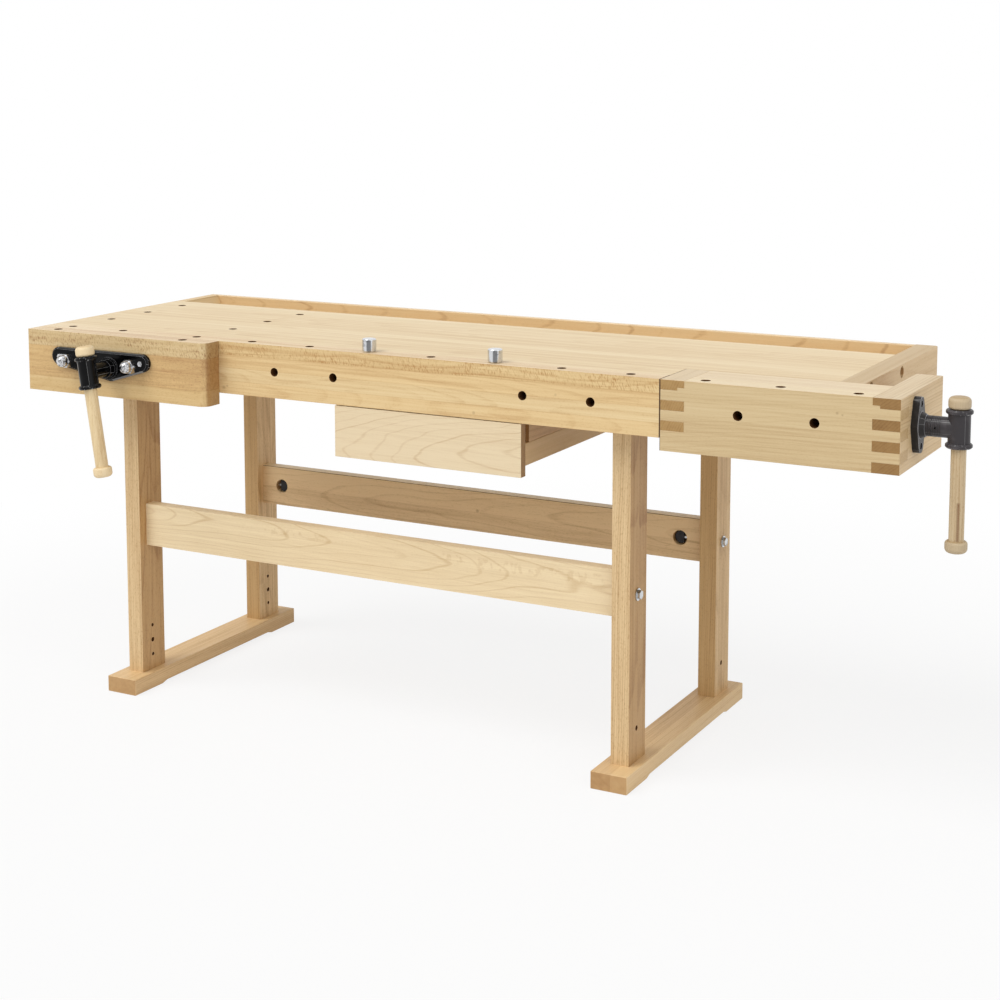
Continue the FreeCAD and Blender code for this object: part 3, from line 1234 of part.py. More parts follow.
def drawer_side(face_x, inward):
    """A side with a rebate for the runner, a groove for its tongue and one for the bottom."""
    inner = face_x + inward * DRAWER_SIDE_THICKNESS
    rebate_x = face_x + inward * (RUNNER_THICKNESS + RUN_GAP)
    groove_x = rebate_x + inward * RUNNER_TONGUE
    y_range = (DRAWER_INSIDE_FRONT, DRAWER_BACK)
    whole = block(sorted((face_x, inner)), y_range, (DRAWER_SIDE_BOTTOM, DRAWER_TOP))
    rebate = block(sorted((face_x, rebate_x)), y_range, (DRAWER_LEDGE, DRAWER_TOP))
    groove_bottom = DRAWER_LEDGE + RUNNER_TONGUE_LIFT
    groove = block(
        sorted((rebate_x, groove_x)), y_range, (groove_bottom, groove_bottom + RUNNER_TONGUE_HEIGHT)
    )
    return drill(whole, [rebate, groove, drawer_bottom_slab()])


def drawer_back():
    """The board across the back of the drawer, on top of its bottom."""
    low = DRAWER_SIDE_BOTTOM + DRAWER_BOTTOM_LIFT + DRAWER_BOTTOM_THICKNESS
    return block(
        (DRAWER_LEFT_FACE + DRAWER_SIDE_THICKNESS, DRAWER_RIGHT_FACE - DRAWER_SIDE_THICKNESS),
        (DRAWER_BACK - DRAWER_BACK_THICKNESS, DRAWER_BACK),
        (low, DRAWER_TOP),
    )


def runner_foot_range(face_x, inward):
    """Width of a runner's upper part, from the drawer's side face outwards."""
    return sorted((face_x + inward * RUNNER_THICKNESS, face_x - inward * (RUNNER_FOOT - RUNNER_THICKNESS)))


def drawer_runners():
    """The two fixed runners, left and right of the drawer."""
    return group([drawer_runner(face_x, inward) for face_x, inward in drawer_faces()])


def drawer_faces():
    """Outer face of each drawer side and the direction into the drawer."""
    return ((DRAWER_LEFT_FACE, 1), (DRAWER_RIGHT_FACE, -1))


def drawer_runner(face_x, inward):
    """A fixed runner: an upright with a tongue below and a wide foot under the slab."""
    inner = face_x + inward * RUNNER_THICKNESS
    back = DRAWER_BACK + EDGE_MARGIN / 2
    low = DRAWER_LEDGE + RUN_GAP
    upright_front = block(
        sorted((face_x + inward * RUN_GAP, inner)), (RUNNER_START, APRON_THICKNESS), (low, APRON_BOTTOM)
    )
    upright = block(sorted((face_x + inward * RUN_GAP, inner)), (APRON_THICKNESS, back), (low, SLAB_BOTTOM))
    tongue_bottom = DRAWER_LEDGE + RUNNER_TONGUE_LIFT + RUN_GAP
    tongue = block(
        sorted((inner, inner + inward * (RUNNER_TONGUE - RUN_GAP))),
        (RUNNER_START, back),
        (tongue_bottom, tongue_bottom + RUNNER_TONGUE_HEIGHT - 2 * RUN_GAP),
    )
    foot_block = block(
        runner_foot_range(face_x, inward),
        (APRON_THICKNESS, back),
        (SLAB_BOTTOM - RUNNER_FOOT, SLAB_BOTTOM),
    )
    runner = join([upright_front, upright, tongue, foot_block])
    holes = []
    for x, y in runner_screw_places():
        start = Vector(x, y, SLAB_BOTTOM - RUNNER_FOOT)
        holes.append(rod(RUNNER_SCREW_RADIUS, start, Z_AXIS, RUNNER_FOOT))
    return drill(runner, holes)


def runner_screw_places():
    """Plan positions of the runner screws."""
    places = []
    for face_x, inward in drawer_faces():
        middle = face_x - inward * (RUNNER_FOOT - RUNNER_THICKNESS) / 2
        for y in (APRON_THICKNESS + EDGE_MARGIN, DRAWER_BACK - EDGE_MARGIN):
            places.append((middle, y))
    return places


def runner_screws():
    """Round-headed screws that hold the runners under the slab."""
    screws = []
    for x, y in runner_screw_places():
        seat = Vector(x, y, SLAB_BOTTOM - RUNNER_FOOT)
        shank = rod(RUNNER_SCREW_RADIUS, seat, Z_AXIS, RUNNER_FOOT + RUNNER_SCREW_IN_SLAB)
        head_start = seat - Z_AXIS * RUNNER_SCREW_HEAD
        head = cone(RUNNER_SCREW_RADIUS, RUNNER_SCREW_HEAD_RADIUS, head_start, Z_AXIS, RUNNER_SCREW_HEAD)
        screws.append(join([shank, head]))
    return group(screws)


# Bench dogs
def bench_dog(column):
    """A turned steel dog: a shank, an undercut neck and a chamfered head."""
    x = FIRST_COLUMN + DOG_PITCH * column
    axis_foot = Vector(x, DOG_ROW_DEPTH, TOP_HEIGHT)
    shank_radius = DOG_HOLE_RADIUS - SHAFT_GAP
    neck_radius = DOG_HEAD_RADIUS - DOG_NECK_INSET
    shank = rod(shank_radius, axis_foot - Z_AXIS * DOG_SHANK_LENGTH, Z_AXIS, DOG_SHANK_LENGTH + RUN_GAP)
    neck = rod(neck_radius, axis_foot + Z_AXIS * RUN_GAP, Z_AXIS, DOG_NECK_HEIGHT)
    head_base = axis_foot + Z_AXIS * (RUN_GAP + DOG_NECK_HEIGHT)
    head_height = DOG_HEAD_HEIGHT - DOG_NECK_HEIGHT - DOG_HEAD_CHAMFER
    head = rod(DOG_HEAD_RADIUS, head_base, Z_AXIS, head_height)
    top_radius = DOG_HEAD_RADIUS - DOG_HEAD_CHAMFER
    bevel = cone(DOG_HEAD_RADIUS, top_radius, head_base + Z_AXIS * head_height, Z_AXIS, DOG_HEAD_CHAMFER)
    return join([shank, neck, head, bevel])


def build_nodes():
    """Every piece of the bench by its node name."""
    nodes = {
        "bench_slab": slab(),
        "front_apron": front_apron(),
        "right_end_cap": right_end_cap(),
        "end_cap_bolts": end_cap_bolts(),
        "end_cap_cross_nuts": end_cap_cross_nuts(),
        "tray_bottom": tray_bottom(),
        "back_rail": back_rail(),
        "tray_end_left": tray_end(),
        "tray_ramps": tray_ramps(),
        "front_stretcher": stretcher(FRONT_LEG_Y),
        "back_stretcher": stretcher(BACK_LEG_Y),
        "frame_bolts": frame_bolts(),
        "frame_washers": frame_washers(),
        "frame_nuts": frame_nuts(),
        "frame_dowels": frame_dowels(),
        "top_screws": top_screws(),
        "front_jaw": front_jaw(),
        "front_vise_plate": front_plate(),
        "front_plate_screws": front_plate_screws(),
        "front_guide_rods": front_guide_rods(),
        "front_cap_nuts": front_cap_nuts(),
        "front_rod_bushes": front_rod_bushes(),
        "front_vise_nut": nut_casting(front_nut_face(), Y_AXIS, X_AXIS),
        "vise_nut_screws": vise_nut_screws(),
        "front_vise_screw": front_screw(),
        "front_vise_hub": front_hub(),
        "front_screw_collar": front_collar(),
        "front_handle_rod": handle_rod(front_hub_centre(), front_handle_axis()),
        "front_handle_knobs": handle_knobs(front_hub_centre(), front_handle_axis()),
        "tail_front_board": tail_front_board(),
        "tail_end_block": tail_end_block(),
        "tail_left_block": tail_left_block(),
        "tail_top_plate": tail_top_plate(),
        "tail_guide_board": tail_guide_board(),
        "tail_guide_rail": tail_guide_rail(),
        "tail_flange": tail_flange(),
        "tail_flange_bolts": tail_flange_bolts(),
        "tail_vise_nut": nut_casting(tail_nut_face(), X_AXIS, Y_AXIS),
        "tail_vise_screw": tail_screw(),
        "tail_vise_hub": tail_hub(),
        "tail_screw_collar": tail_collar(),
        "tail_handle_rod": handle_rod(tail_hub_centre(), Z_AXIS),
        "tail_handle_knobs": handle_knobs(tail_hub_centre(), Z_AXIS),
        "drawer_front": drawer_front(),
        "drawer_side_left": drawer_side(DRAWER_LEFT_FACE, 1),
        "drawer_side_right": drawer_side(DRAWER_RIGHT_FACE, -1),
        "drawer_back": drawer_back(),
        "drawer_bottom": drawer_bottom_slab(),
        "drawer_runners": drawer_runners(),
        "runner_screws": runner_screws(),
        "bench_dog_left": bench_dog(DOG_SPANS[0]),
        "bench_dog_right": bench_dog(DOG_SPANS[1]),
    }
    for name, middle, inner_side in (("left", LEFT_FOOT_MIDDLE, 1), ("right", RIGHT_FOOT_MIDDLE, -1)):
        nodes[name + "_foot"] = foot(middle)
        nodes[name + "_bearer"] = bearer(middle)
        for row_name, leg_y in (("front", FRONT_LEG_Y), ("back", BACK_LEG_Y)):
            nodes["_".join((name, row_name, "leg"))] = leg(middle, leg_y, inner_side)
    return nodes


def main():
    """Writes one STEP file per node."""
    os.makedirs("parts", exist_ok=True)
    for name, shape in build_nodes().items():
        placed = shape.copy()
        placed.translate(ORIGIN * -1)
        placed.exportStep("parts/" + name + ".step")


main()
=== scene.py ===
"""Looks of a joiner's bench with a front vise and a tail vise. All lengths are metres."""

import json
import logging
import math
from dataclasses import dataclass, replace
from enum import Enum
from typing import Dict, Iterable, List, Optional, Sequence, Tuple, Union

import bmesh
import bpy
from mathutils import Matrix, Vector

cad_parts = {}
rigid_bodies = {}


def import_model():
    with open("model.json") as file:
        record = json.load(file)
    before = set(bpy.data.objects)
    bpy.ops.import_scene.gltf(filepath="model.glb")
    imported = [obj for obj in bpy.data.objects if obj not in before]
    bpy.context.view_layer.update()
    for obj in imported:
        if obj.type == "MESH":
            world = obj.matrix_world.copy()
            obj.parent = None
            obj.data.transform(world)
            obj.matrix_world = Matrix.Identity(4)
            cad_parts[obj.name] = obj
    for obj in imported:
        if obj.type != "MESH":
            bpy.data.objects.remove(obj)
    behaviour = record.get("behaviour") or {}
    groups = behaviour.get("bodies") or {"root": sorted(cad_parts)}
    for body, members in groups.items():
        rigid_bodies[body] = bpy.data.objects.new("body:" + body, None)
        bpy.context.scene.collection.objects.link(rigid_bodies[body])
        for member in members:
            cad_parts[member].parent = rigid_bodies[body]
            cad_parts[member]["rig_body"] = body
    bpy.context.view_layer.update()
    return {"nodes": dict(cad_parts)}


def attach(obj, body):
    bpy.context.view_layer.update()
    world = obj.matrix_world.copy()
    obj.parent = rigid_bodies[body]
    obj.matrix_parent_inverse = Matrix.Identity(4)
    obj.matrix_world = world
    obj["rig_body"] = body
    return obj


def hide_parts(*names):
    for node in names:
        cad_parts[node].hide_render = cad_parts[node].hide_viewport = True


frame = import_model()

LOG = logging.getLogger("bench")
Triple = Tuple[float, float, float]
Span = Tuple[float, float]
Number = Union["Signal", float, int]
Inputs = Dict[Union[str, int], object]


class Axis(Enum):
    """A direction of the bench: X along it, Y to the back, Z up."""

    X = 0
    Y = 1
    Z = 2


def linear(shade: Triple) -> Tuple[float, float, float, float]:
    """Turns a display colour into the colour that a shader reads, by the sRGB curve.

    Args:
        shade: Red, green and blue from 0 to 255.

    Returns:
        Linear red, green, blue and an alpha of 1.
    """
    parts = []
    for part in shade:
        part = part / 255
        parts.append(part / 12.92 if part <= 0.04045 else ((part + 0.055) / 1.055) ** 2.4)
    return (parts[0], parts[1], parts[2], 1.0)


def scaled(shade: Triple, share: float) -> Tuple[float, float, float, float]:
    """A display colour times a share, as the colour that a shader reads."""
    return linear(tuple(part * share for part in shade))


class Signal:
    """One output of a shader node, with arithmetic that adds Math nodes."""

    def __init__(self, board: "Board", socket: bpy.types.NodeSocket) -> None:
        """Keeps the board and the socket.

        Args:
            board: The board that the node is on.
            socket: The node's output.
        """
        self.board = board
        self.socket = socket

    def __add__(self, other: Number) -> "Signal":
        """Sum."""
        return self.board.maths("ADD", self, other)

    __radd__ = __add__

    def __sub__(self, other: Number) -> "Signal":
        """Difference."""
        return self.board.maths("SUBTRACT", self, other)

    def __rsub__(self, other: Number) -> "Signal":
        """Difference the other way round."""
        return self.board.maths("SUBTRACT", other, self)

    def __mul__(self, other: Number) -> "Signal":
        """Product."""
        return self.board.maths("MULTIPLY", self, other)

    __rmul__ = __mul__

    def __truediv__(self, other: Number) -> "Signal":
        """Quotient."""
        return self.board.maths("DIVIDE", self, other)

    def __abs__(self) -> "Signal":
        """Size without sign."""
        return self.board.maths("ABSOLUTE", self)

    def between(self, low: Number, high: Number) -> "Signal":
        """Rises smoothly from 0 at low to 1 at high."""
        inputs = {"Value": self, "From Min": low, "From Max": high}
        return self.board.signal("ShaderNodeMapRange", {"interpolation_type": "SMOOTHSTEP"}, inputs)

    def inside(self, low: float, high: float, blur: float) -> "Signal":
        """1 from low to high and 0 beside it, with a soft edge of width blur within each end."""
        return self.between(low, low + blur) * (1 - self.between(high - blur, high))


class Board:
    """Lays out the nodes of one material."""

    def __init__(self, name: str, owner: Optional[bpy.types.ID] = None) -> None:
        """Starts an empty material, or empties the nodes of another owner.

        Args:
            name: The material's name.
            owner: A world whose nodes are laid out instead of a new material's.
        """
        self.material = owner or bpy.data.materials.new(name)
        self.material.use_nodes = True
        self.tree = self.material.node_tree
        self.tree.nodes.clear()

    def node(
        self, kind: str, settings: Optional[Dict[str, object]] = None, inputs: Optional[Inputs] = None
    ) -> bpy.types.Node:
        """Adds a node.

        Args:
            kind: The node's type.
            settings: Its properties, and a ramp's stops as (place, colour) pairs.
            inputs: A value or a signal for each input socket, by name or number.

        Returns:
            The new node.
        """
        made = self.tree.nodes.new(kind)
        for key, value in (settings or {}).items():
            if key == "stops":
                self._set_stops(made.color_ramp, value)
            else:
                setattr(made, key, value)
        for key, value in (inputs or {}).items():
            if isinstance(value, Signal):
                self.tree.links.new(value.socket, made.inputs[key])
            else:
                made.inputs[key].default_value = value
        return made

    @staticmethod
    def _set_stops(ramp: bpy.types.ColorRamp, stops: Sequence[Tuple[float, Sequence[float]]]) -> None:
        """Gives a colour ramp its stops.

        Args:
            ramp: The ramp, which starts with two stops.
            stops: Place and colour of each stop, from left to right.
        """
        while len(ramp.elements) < len(stops):
            ramp.elements.new(0.5)
        for element, (place, colour) in zip(ramp.elements, stops):
            element.position = place
            element.color = colour

    def signal(
        self,
        kind: str,
        settings: Optional[Dict[str, object]] = None,
        inputs: Optional[Inputs] = None,
        output: Union[str, int] = 0,
    ) -> Signal:
        """Adds a node and returns one of its outputs as a signal.

        Args:
            kind: The node's type.
            settings: Its properties.
            inputs: A value or a signal for each input socket.
            output: The output's name or number.

        Returns:
            The output.
        """
        return Signal(self, self.node(kind, settings, inputs).outputs[output])

    def maths(self, operation: str, *values: Number) -> Signal:
        """Adds a Math node on the values."""
        return self.signal("ShaderNodeMath", {"operation": operation}, dict(enumerate(values)))

    def colours(self, factor: Number, first: object, second: object, blend: str = "MIX") -> Signal:
        """Mixes two colours.

        Args:
            factor: Share of the second colour.
            first: A colour or a signal.
            second: A colour or a signal.
            blend: How the second lies on the first.

        Returns:
            The mixed colour.
        """
        settings = {"data_type": "RGBA", "blend_type": blend}
        return self.signal("ShaderNodeMix", settings, {0: factor, 6: first, 7: second}, 2)

    def _parts(self, output: str) -> List[Signal]:
        """Splits an output of the Texture Coordinate node.

        Args:
            output: The output's name.

        Returns:
            Its parts along X, Y and Z.
        """
        vector = self.signal("ShaderNodeTexCoord", output=output)
        split = self.node("ShaderNodeSeparateXYZ", inputs={0: vector})
        return [Signal(self, out) for out in split.outputs]

    def place(self) -> List[Signal]:
        """The three coordinates of the shaded point, in the bench's own frame."""
        return self._parts("Object")

    def outward(self) -> List[Signal]:
        """The direction that the surface faces, as three numbers from -1 to 1."""
        return self._parts("Normal")

    def facing(self) -> List[Signal]:
        """How far the surface faces each of the three directions, from 0 to 1."""
        return [abs(way) for way in self.outward()]

    def noise(self, point: Sequence[Number], detail: float = 2.0, roughness: float = 0.5) -> Signal:
        """Smooth noise, about 0 to 1.

        Args:
            point: Three coordinates, each already scaled.
            detail: Octaves.
            roughness: How strong the finer octaves are.

        Returns:
            The noise.
        """
        vector = self.signal("ShaderNodeCombineXYZ", inputs=dict(enumerate(point)))
        inputs = {"Vector": vector, "Scale": 1.0, "Detail": detail, "Roughness": roughness}
        return self.signal("ShaderNodeTexNoise", {"noise_dimensions": "3D"}, inputs)

    def speckle(self, rate: float, detail: float) -> Signal:
        """Noise that is alike in all directions, about 0 to 1, with rate waves to the metre."""
        return self.noise([way * rate for way in self.place()], detail)

    def mirrored(self, scale: float, detail: float) -> Signal:
        """Noise over the directions that a surface faces, for a painted reflection of a room on a polished
        surface.
        """
        way = self.signal("ShaderNodeTexCoord", output="Normal")
        return self.signal("ShaderNodeTexNoise", inputs={"Vector": way, "Scale": scale, "Detail": detail})

    def dice(self, number: Number) -> Tuple[Signal, Signal, Signal]:
        """Throws three chances that belong to a number.

        Args:
            number: The number, which gives the same chances each time.

        Returns:
            The chances, from 0 to 1.
        """
        thrown = self.signal("ShaderNodeTexWhiteNoise", {"noise_dimensions": "1D"}, {"W": number}, "Color")
        split = self.node("ShaderNodeSeparateColor", inputs={0: thrown})
        return tuple(Signal(self, out) for out in split.outputs[:3])

    def finish(
        self, bump: Optional[Tuple[Signal, float, float]] = None, **sockets: object
    ) -> bpy.types.Material:
        """Adds the surface shader and the output.

        Args:
            bump: Height, strength and distance of the relief.
            **sockets: Values or signals of the shader, with _ for a space.

        Returns:
            The material.
        """
        inputs = {key.replace("_", " "): value for key, value in sockets.items()}
        if bump:
            relief = {"Height": bump[0], "Strength": bump[1], "Distance": bump[2]}
            inputs["Normal"] = self.signal("ShaderNodeBump", inputs=relief)
        surface = self.signal("ShaderNodeBsdfPrincipled", inputs=inputs)
        self.node("ShaderNodeOutputMaterial", inputs={"Surface": surface})
        return self.material


@dataclass(frozen=True)
class Sample:
    """What a wood's shading is worked out from at one point.

    Point holds the places along, across and through the grain. Run is the same, moved
    along from stave to stave. Steps counts staves across the grain, cell is the whole
    part of it, and chance is thrown for each stave. Warp is the slow wander of the rings.
    """

    board: Board
    place: List[Signal]
    facing: List[Signal]
    point: Tuple[Signal, Signal, Signal]
    run: Tuple[Signal, Signal, Signal]
    steps: Signal
    cell: Signal
    chance: Tuple[Signal, Signal, Signal]
    warp: Signal


@dataclass(frozen=True)
class Grain:
    """Noise that is drawn out along the grain, in waves to the metre."""

    along: float
    across: float
    start: float = 0.0
    detail: float = 1.0
    roughness: float = 0.5

    def over(self, board: Board, run: Sequence[Signal]) -> Signal:
        """Lays the noise over the wood.

        Args:
            board: The board of nodes.
            run: Places along, across and through the grain.

        Returns:
            The noise, about -0.5 to 0.5.
        """
        along, across, through = run
        waves = (along * self.along + self.start, across * self.across, through * self.across)
        return board.noise(waves, self.detail, self.roughness) - 0.5


# What every piece of wood has: the slow wander, bow and ripple of its rings, its long
# streaks, the broad light and dark, its fibres and the short dashes of its pores.
WARP = Grain(1.4, 9.0, detail=2.0)
BOW = Grain(1.7, 0.0, start=2.0)
RIPPLE = Grain(7.0, 26.0)
STREAK = Grain(2.2, 85.0, detail=3.0, roughness=0.6)
DRIFT = Grain(1.1, 7.0, start=5.0)
FIBRE = Grain(16.0, 520.0)
DASH = Grain(170.0, 560.0)
DASH_SPAN = (0.06, 0.18)
FIBRE_TONE = 0.22
FIBRE_RELIEF = 0.6
RING_RELIEF = 0.4
WOOD_RELIEF = (0.2, 0.0004)
WOOD_ROUGHNESS = 0.5
STREAK_SHEEN = 0.25
DASH_ROUGHNESS = 0.1

# Growth rings: how many rings the wander and the ripple are, where the late wood ends,
# and how strong the weakest ring is.
WANDER = 2.2
RIPPLES = 0.9
LATE_WOOD_END = (0.92, 1.0)
WEAKEST_RING = 0.25

# Quartered beech: waves to the metre of its rays and of their patches, and the tones
# between which both set in.
RAY_ALONG, RAY_SLANT, RAY_ACROSS, RAY_THROUGH = 440.0, 130.0, 110.0, 400.0
RAY_SPAN = (0.46, 0.72)
PATCH_ALONG, PATCH_ACROSS = 9.0, 30.0
PATCH_SPAN = (0.35, 0.62)
FEWEST_RAYS = 0.3

# Glued joints, and how far a surface has to face a way to count as an upright face, as a
# face across an axis or as end grain.
GLUE_LINE = 0.0004
GLUE_BLUR = 0.0005
UPRIGHT = (0.3, 0.7)
FACE = (0.6, 0.9)
END_GRAIN = (0.7, 0.9)


@dataclass(frozen=True)
class Band:
    """A strip across a board, such as one lamella of a laminated board, between two places across it."""

    low: float
    high: float
    tone: float = 0.0
    fleck: float = 0.0
    tint: Optional[Triple] = None
    blur: float = 0.0012

    def over(self, across: Signal) -> Signal:
        """1 inside the lamella and 0 beside it."""
        half = self.blur / 2
        return across.inside(self.low - half, self.high + half, self.blur)


@dataclass(frozen=True)
class Knot:
    """A pin knot."""

    place: Triple
    size: float = 0.005
    depth: float = 0.5
    core: float = 0.25
    shade: Triple = (116, 78, 46)

    def over(self, at: Sample, colour: Signal) -> Signal:
        """Darkens the colour at the knot.

        Args:
            at: The shaded point.
            colour: The colour so far.

        Returns:
            The colour with the knot.
        """
        total: Number = 0.0
        for signal, middle in zip(at.place, self.place):
            offset = signal - middle
            total = offset * offset + total
        far = at.board.maths("SQRT", total)
        near = (1 - far.between(self.size * self.core, self.size)) * self.depth
        return at.board.colours(near, colour, linear(self.shade))


@dataclass(frozen=True)
class Curl:
    """Ripples across the grain, between two places along it and in a strip across it."""

    low: float
    high: float
    middle: float
    width: float
    pitch: float
    depth: float
    fade: float = 0.08
    wander: float = 0.02
    crest: Span = (0.50, 0.62)

    def over(self, at: Sample) -> Signal:
        """The tone that the curl takes away.

        Args:
            at: The shaded point.

        Returns:
            The tone, from 0 up to the curl's depth.
        """
        along, across, through = at.point
        waves = (along / self.pitch, across / (self.width * 1.2), through * 9.0)
        ripple = at.board.noise(waves, 1.5, 0.6).between(*self.crest)
        off = abs(across - self.middle + at.warp * self.wander)
        strip = 1 - off.between(self.width * 0.5, self.width)
        return ripple * along.inside(self.low, self.high, self.fade) * strip * self.depth


@dataclass(frozen=True)
class Seam:
    """A painted shadow line, in a gap between parts or along an edge, in a plane across one axis."""

    axis: Axis
    place: float
    half: float
    edge: Span = (0.8, 1.2)
    turned: Span = (0.75, 0.95)
    shade: Triple = (66, 44, 28)

    def over(self, at: Sample, colour: Signal) -> Signal:
        """Paints the line's shadow into the colour, but not on the end faces that lie in its plane.

        Args:
            at: The shaded point.
            colour: The colour so far.

        Returns:
            The colour with the line.
        """
        off = abs(at.place[self.axis.value] - self.place)
        near = 1 - off.between(self.half * self.edge[0], self.half * self.edge[1])
        beside = 1 - at.facing[self.axis.value].between(*self.turned)
        return at.board.colours(near * beside, colour, linear(self.shade))


@dataclass(frozen=True)
class Wood:
    """Oiled beech, cut and glued in one way.

    The heart line of the tree passes through pith, given as places along, across and
    through the board. In a glued board each stave has a heart line of its own, and the
    middle number counts from the middle of the stave.

    Attributes:
        name: Name of the material.
        light: Palest tone.
        body: Middle tone.
        dark: Deepest tone.
        grain: Direction of the grain.
        stack: Direction in which staves are glued side by side.
        stave: Width of a stave.
        start: Place of the first joint.
        tone: Difference in tone from stave to stave.
        figure: Darkness of the late wood.
        ring: Width of a growth ring.
        thin: Where in a ring the late wood starts, so that more is a thinner line.
        pith: Place of the heart line.
        lean: Slope of the heart line, across and through the board.
        stray: How far the heart line lies off from stave to stave.
        bow: How far the heart line bows.
        wave: How much the rings wander.
        streak: Strength of the long streaks.
        fine: Streaks to the metre.
        drift: Strength of the broad light and dark.
        fleck: Darkness of the short dashes.
        glue: Darkness of the joints between staves.
        shine: Strength of the highlights.
        end: Colour that end grain is multiplied by.
        faces: Middle tone of the faces across an axis, where it differs.
        seed: Number that moves the whole pattern.
        bands: Lamellae with a look of their own.
        knots: Pin knots.
        curls: Ripples across the grain.
        seams: Painted shadow lines at gaps between parts and along edges.
    """

    name: str
    light: Triple
    body: Triple
    dark: Triple
    grain: Axis
    stack: Axis
    stave: float = 9.0
    start: float = -4.5
    tone: float = 0.25
    figure: float = 0.25
    ring: float = 0.005
    thin: float = 0.5
    pith: Triple = (0.0, 0.0, 0.3)
    lean: Span = (0.0, 0.02)
    stray: float = 0.0
    bow: float = 0.02
    wave: float = 0.8
    streak: float = 0.5
    fine: float = 85.0
    drift: float = 0.3
    fleck: float = 0.1
    glue: float = 0.0
    shine: float = 0.4
    end: Triple = (206, 186, 160)
    faces: Tuple[Tuple[Axis, Triple], ...] = ()
    seed: float = 0.0
    bands: Tuple[Band, ...] = ()
    knots: Tuple[Knot, ...] = ()
    curls: Tuple[Curl, ...] = ()
    seams: Tuple[Seam, ...] = ()

    def make(self) -> bpy.types.Material:
        """Builds the material.

        Returns:
            The material.
        """
        at = self._sample()
        board = at.board
        late = self._rings(at)
        streak = replace(STREAK, across=self.fine).over(board, at.run)
        drift = DRIFT.over(board, at.run)
        fibre = FIBRE.over(board, at.run)
        dash = DASH.over(board, at.run).between(*DASH_SPAN)
        tone = (at.chance[0] - 0.5) * self.tone + 0.5 + streak * self.streak + drift * self.drift
        tone = tone + fibre * FIBRE_TONE - late * self.figure - dash * self.fleck
        for curl in self.curls:
            tone = tone - curl.over(at)
        if self.bands:
            tone = tone + self._lamellae(at)
        if self.glue:
            tone = tone - self._joints(at)
        return board.finish(
            (fibre * FIBRE_RELIEF + late * RING_RELIEF, *WOOD_RELIEF),
            Base_Color=self._colour(at, tone),
            Roughness=WOOD_ROUGHNESS - streak * STREAK_SHEEN + dash * DASH_ROUGHNESS,
            Specular_IOR_Level=self.shine,
        )

    def _sample(self) -> Sample:
        """Starts the material's board.

        Returns:
            The shaded point on it.
        """
        board = Board(self.name)
        place = board.place()
        third = Axis(3 - self.grain.value - self.stack.value)
        along, across, through = (place[axis.value] for axis in (self.grain, self.stack, third))
        steps = (across - self.start) / self.stave
        cell = board.maths("FLOOR", steps)
        chance = board.dice(cell + self.seed + 0.37)
        run = (along + chance[0] * 9.0 + self.seed, across, through)
        point = (along, across, through)
        return Sample(
            board, place, board.facing(), point, run, steps, cell, chance, WARP.over(board, run)
        )

    def _rings(self, at: Sample) -> Signal:
        """Growth rings round a heart line that leans and bows against the board.

        Args:
            at: The shaded point.

        Returns:
            1 on the late wood of a strong ring, 0 between rings.
        """
        board = at.board
        along, across, through = at.point
        first, second, other = at.chance
        level = along - self.pith[0]
        middle = (at.cell + 0.5) * self.stave + self.start if self.stray else 0.0
        sideways = across - middle - self.pith[1] - level * self.lean[0] + (second - 0.5) * self.stray
        bow = BOW.over(board, at.run) * self.bow
        deep = through - self.pith[2] - level * self.lean[1] + bow + (other - 0.5) * self.stray
        reach = board.maths("SQRT", sideways * sideways + deep * deep + 1e-6)
        ripple = RIPPLE.over(board, at.run)
        count = reach / self.ring + at.warp * (WANDER * self.wave) + ripple * (RIPPLES * self.wave)
        turn = board.maths("FRACT", count)
        strength = board.dice(board.maths("FLOOR", count) + first * 50.0)[0]
        strength = strength * (1 - WEAKEST_RING) + WEAKEST_RING
        return turn.between(self.thin, 0.9) * (1 - turn.between(*LATE_WOOD_END)) * strength

    def _upright(self, at: Sample) -> Signal:
        """1 on the faces that show the lamellae one above the other."""
        return 1 - at.facing[self.stack.value].between(*UPRIGHT)

    def _lamellae(self, at: Sample) -> Signal:
        """The tone that the lamellae add, with the short rays of quartered beech.

        Args:
            at: The shaded point.

        Returns:
            The tone, below 0 where it darkens.
        """
        along, across, through = at.point
        tone: Number = 0.0
        rays: Number = 0.0
        for band in self.bands:
            inside = band.over(across)
            tone = inside * band.tone + tone
            rays = inside * band.fleck + rays
        waves = (along * RAY_ALONG + across * RAY_SLANT, across * RAY_ACROSS, through * RAY_THROUGH)
        ray = at.board.noise(waves).between(*RAY_SPAN)
        patch = at.board.noise((along * PATCH_ALONG, across * PATCH_ACROSS, 0.0)).between(*PATCH_SPAN)
        return tone - ray * rays * (patch * (1 - FEWEST_RAYS) + FEWEST_RAYS) * self._upright(at)

    def _joints(self, at: Sample) -> Signal:
        """The tone that the glued joints between the staves take away.

        Args:
            at: The shaded point.

        Returns:
            The tone, 0 away from a joint.
        """
        line, blur = GLUE_LINE / self.stave, GLUE_BLUR / self.stave
        off = abs(at.board.maths("FRACT", at.steps) - 0.5)
        return off.between(0.5 - line - blur, 0.5 - line) * self.glue

    def _tints(self, at: Sample) -> List[Tuple[Signal, Triple]]:
        """Colours that parts of the surface are multiplied by.

        Args:
            at: The shaded point.

        Returns:
            For each tint, where it lies and its red, green and blue.
        """
        tints = [(b.over(at.point[1]) * self._upright(at), b.tint) for b in self.bands if b.tint]
        body = linear(self.body)[:3]
        for axis, shade in self.faces:
            ratio = tuple(new / old for new, old in zip(linear(shade), body))
            tints.append((at.facing[axis.value].between(*FACE), ratio))
        return tints

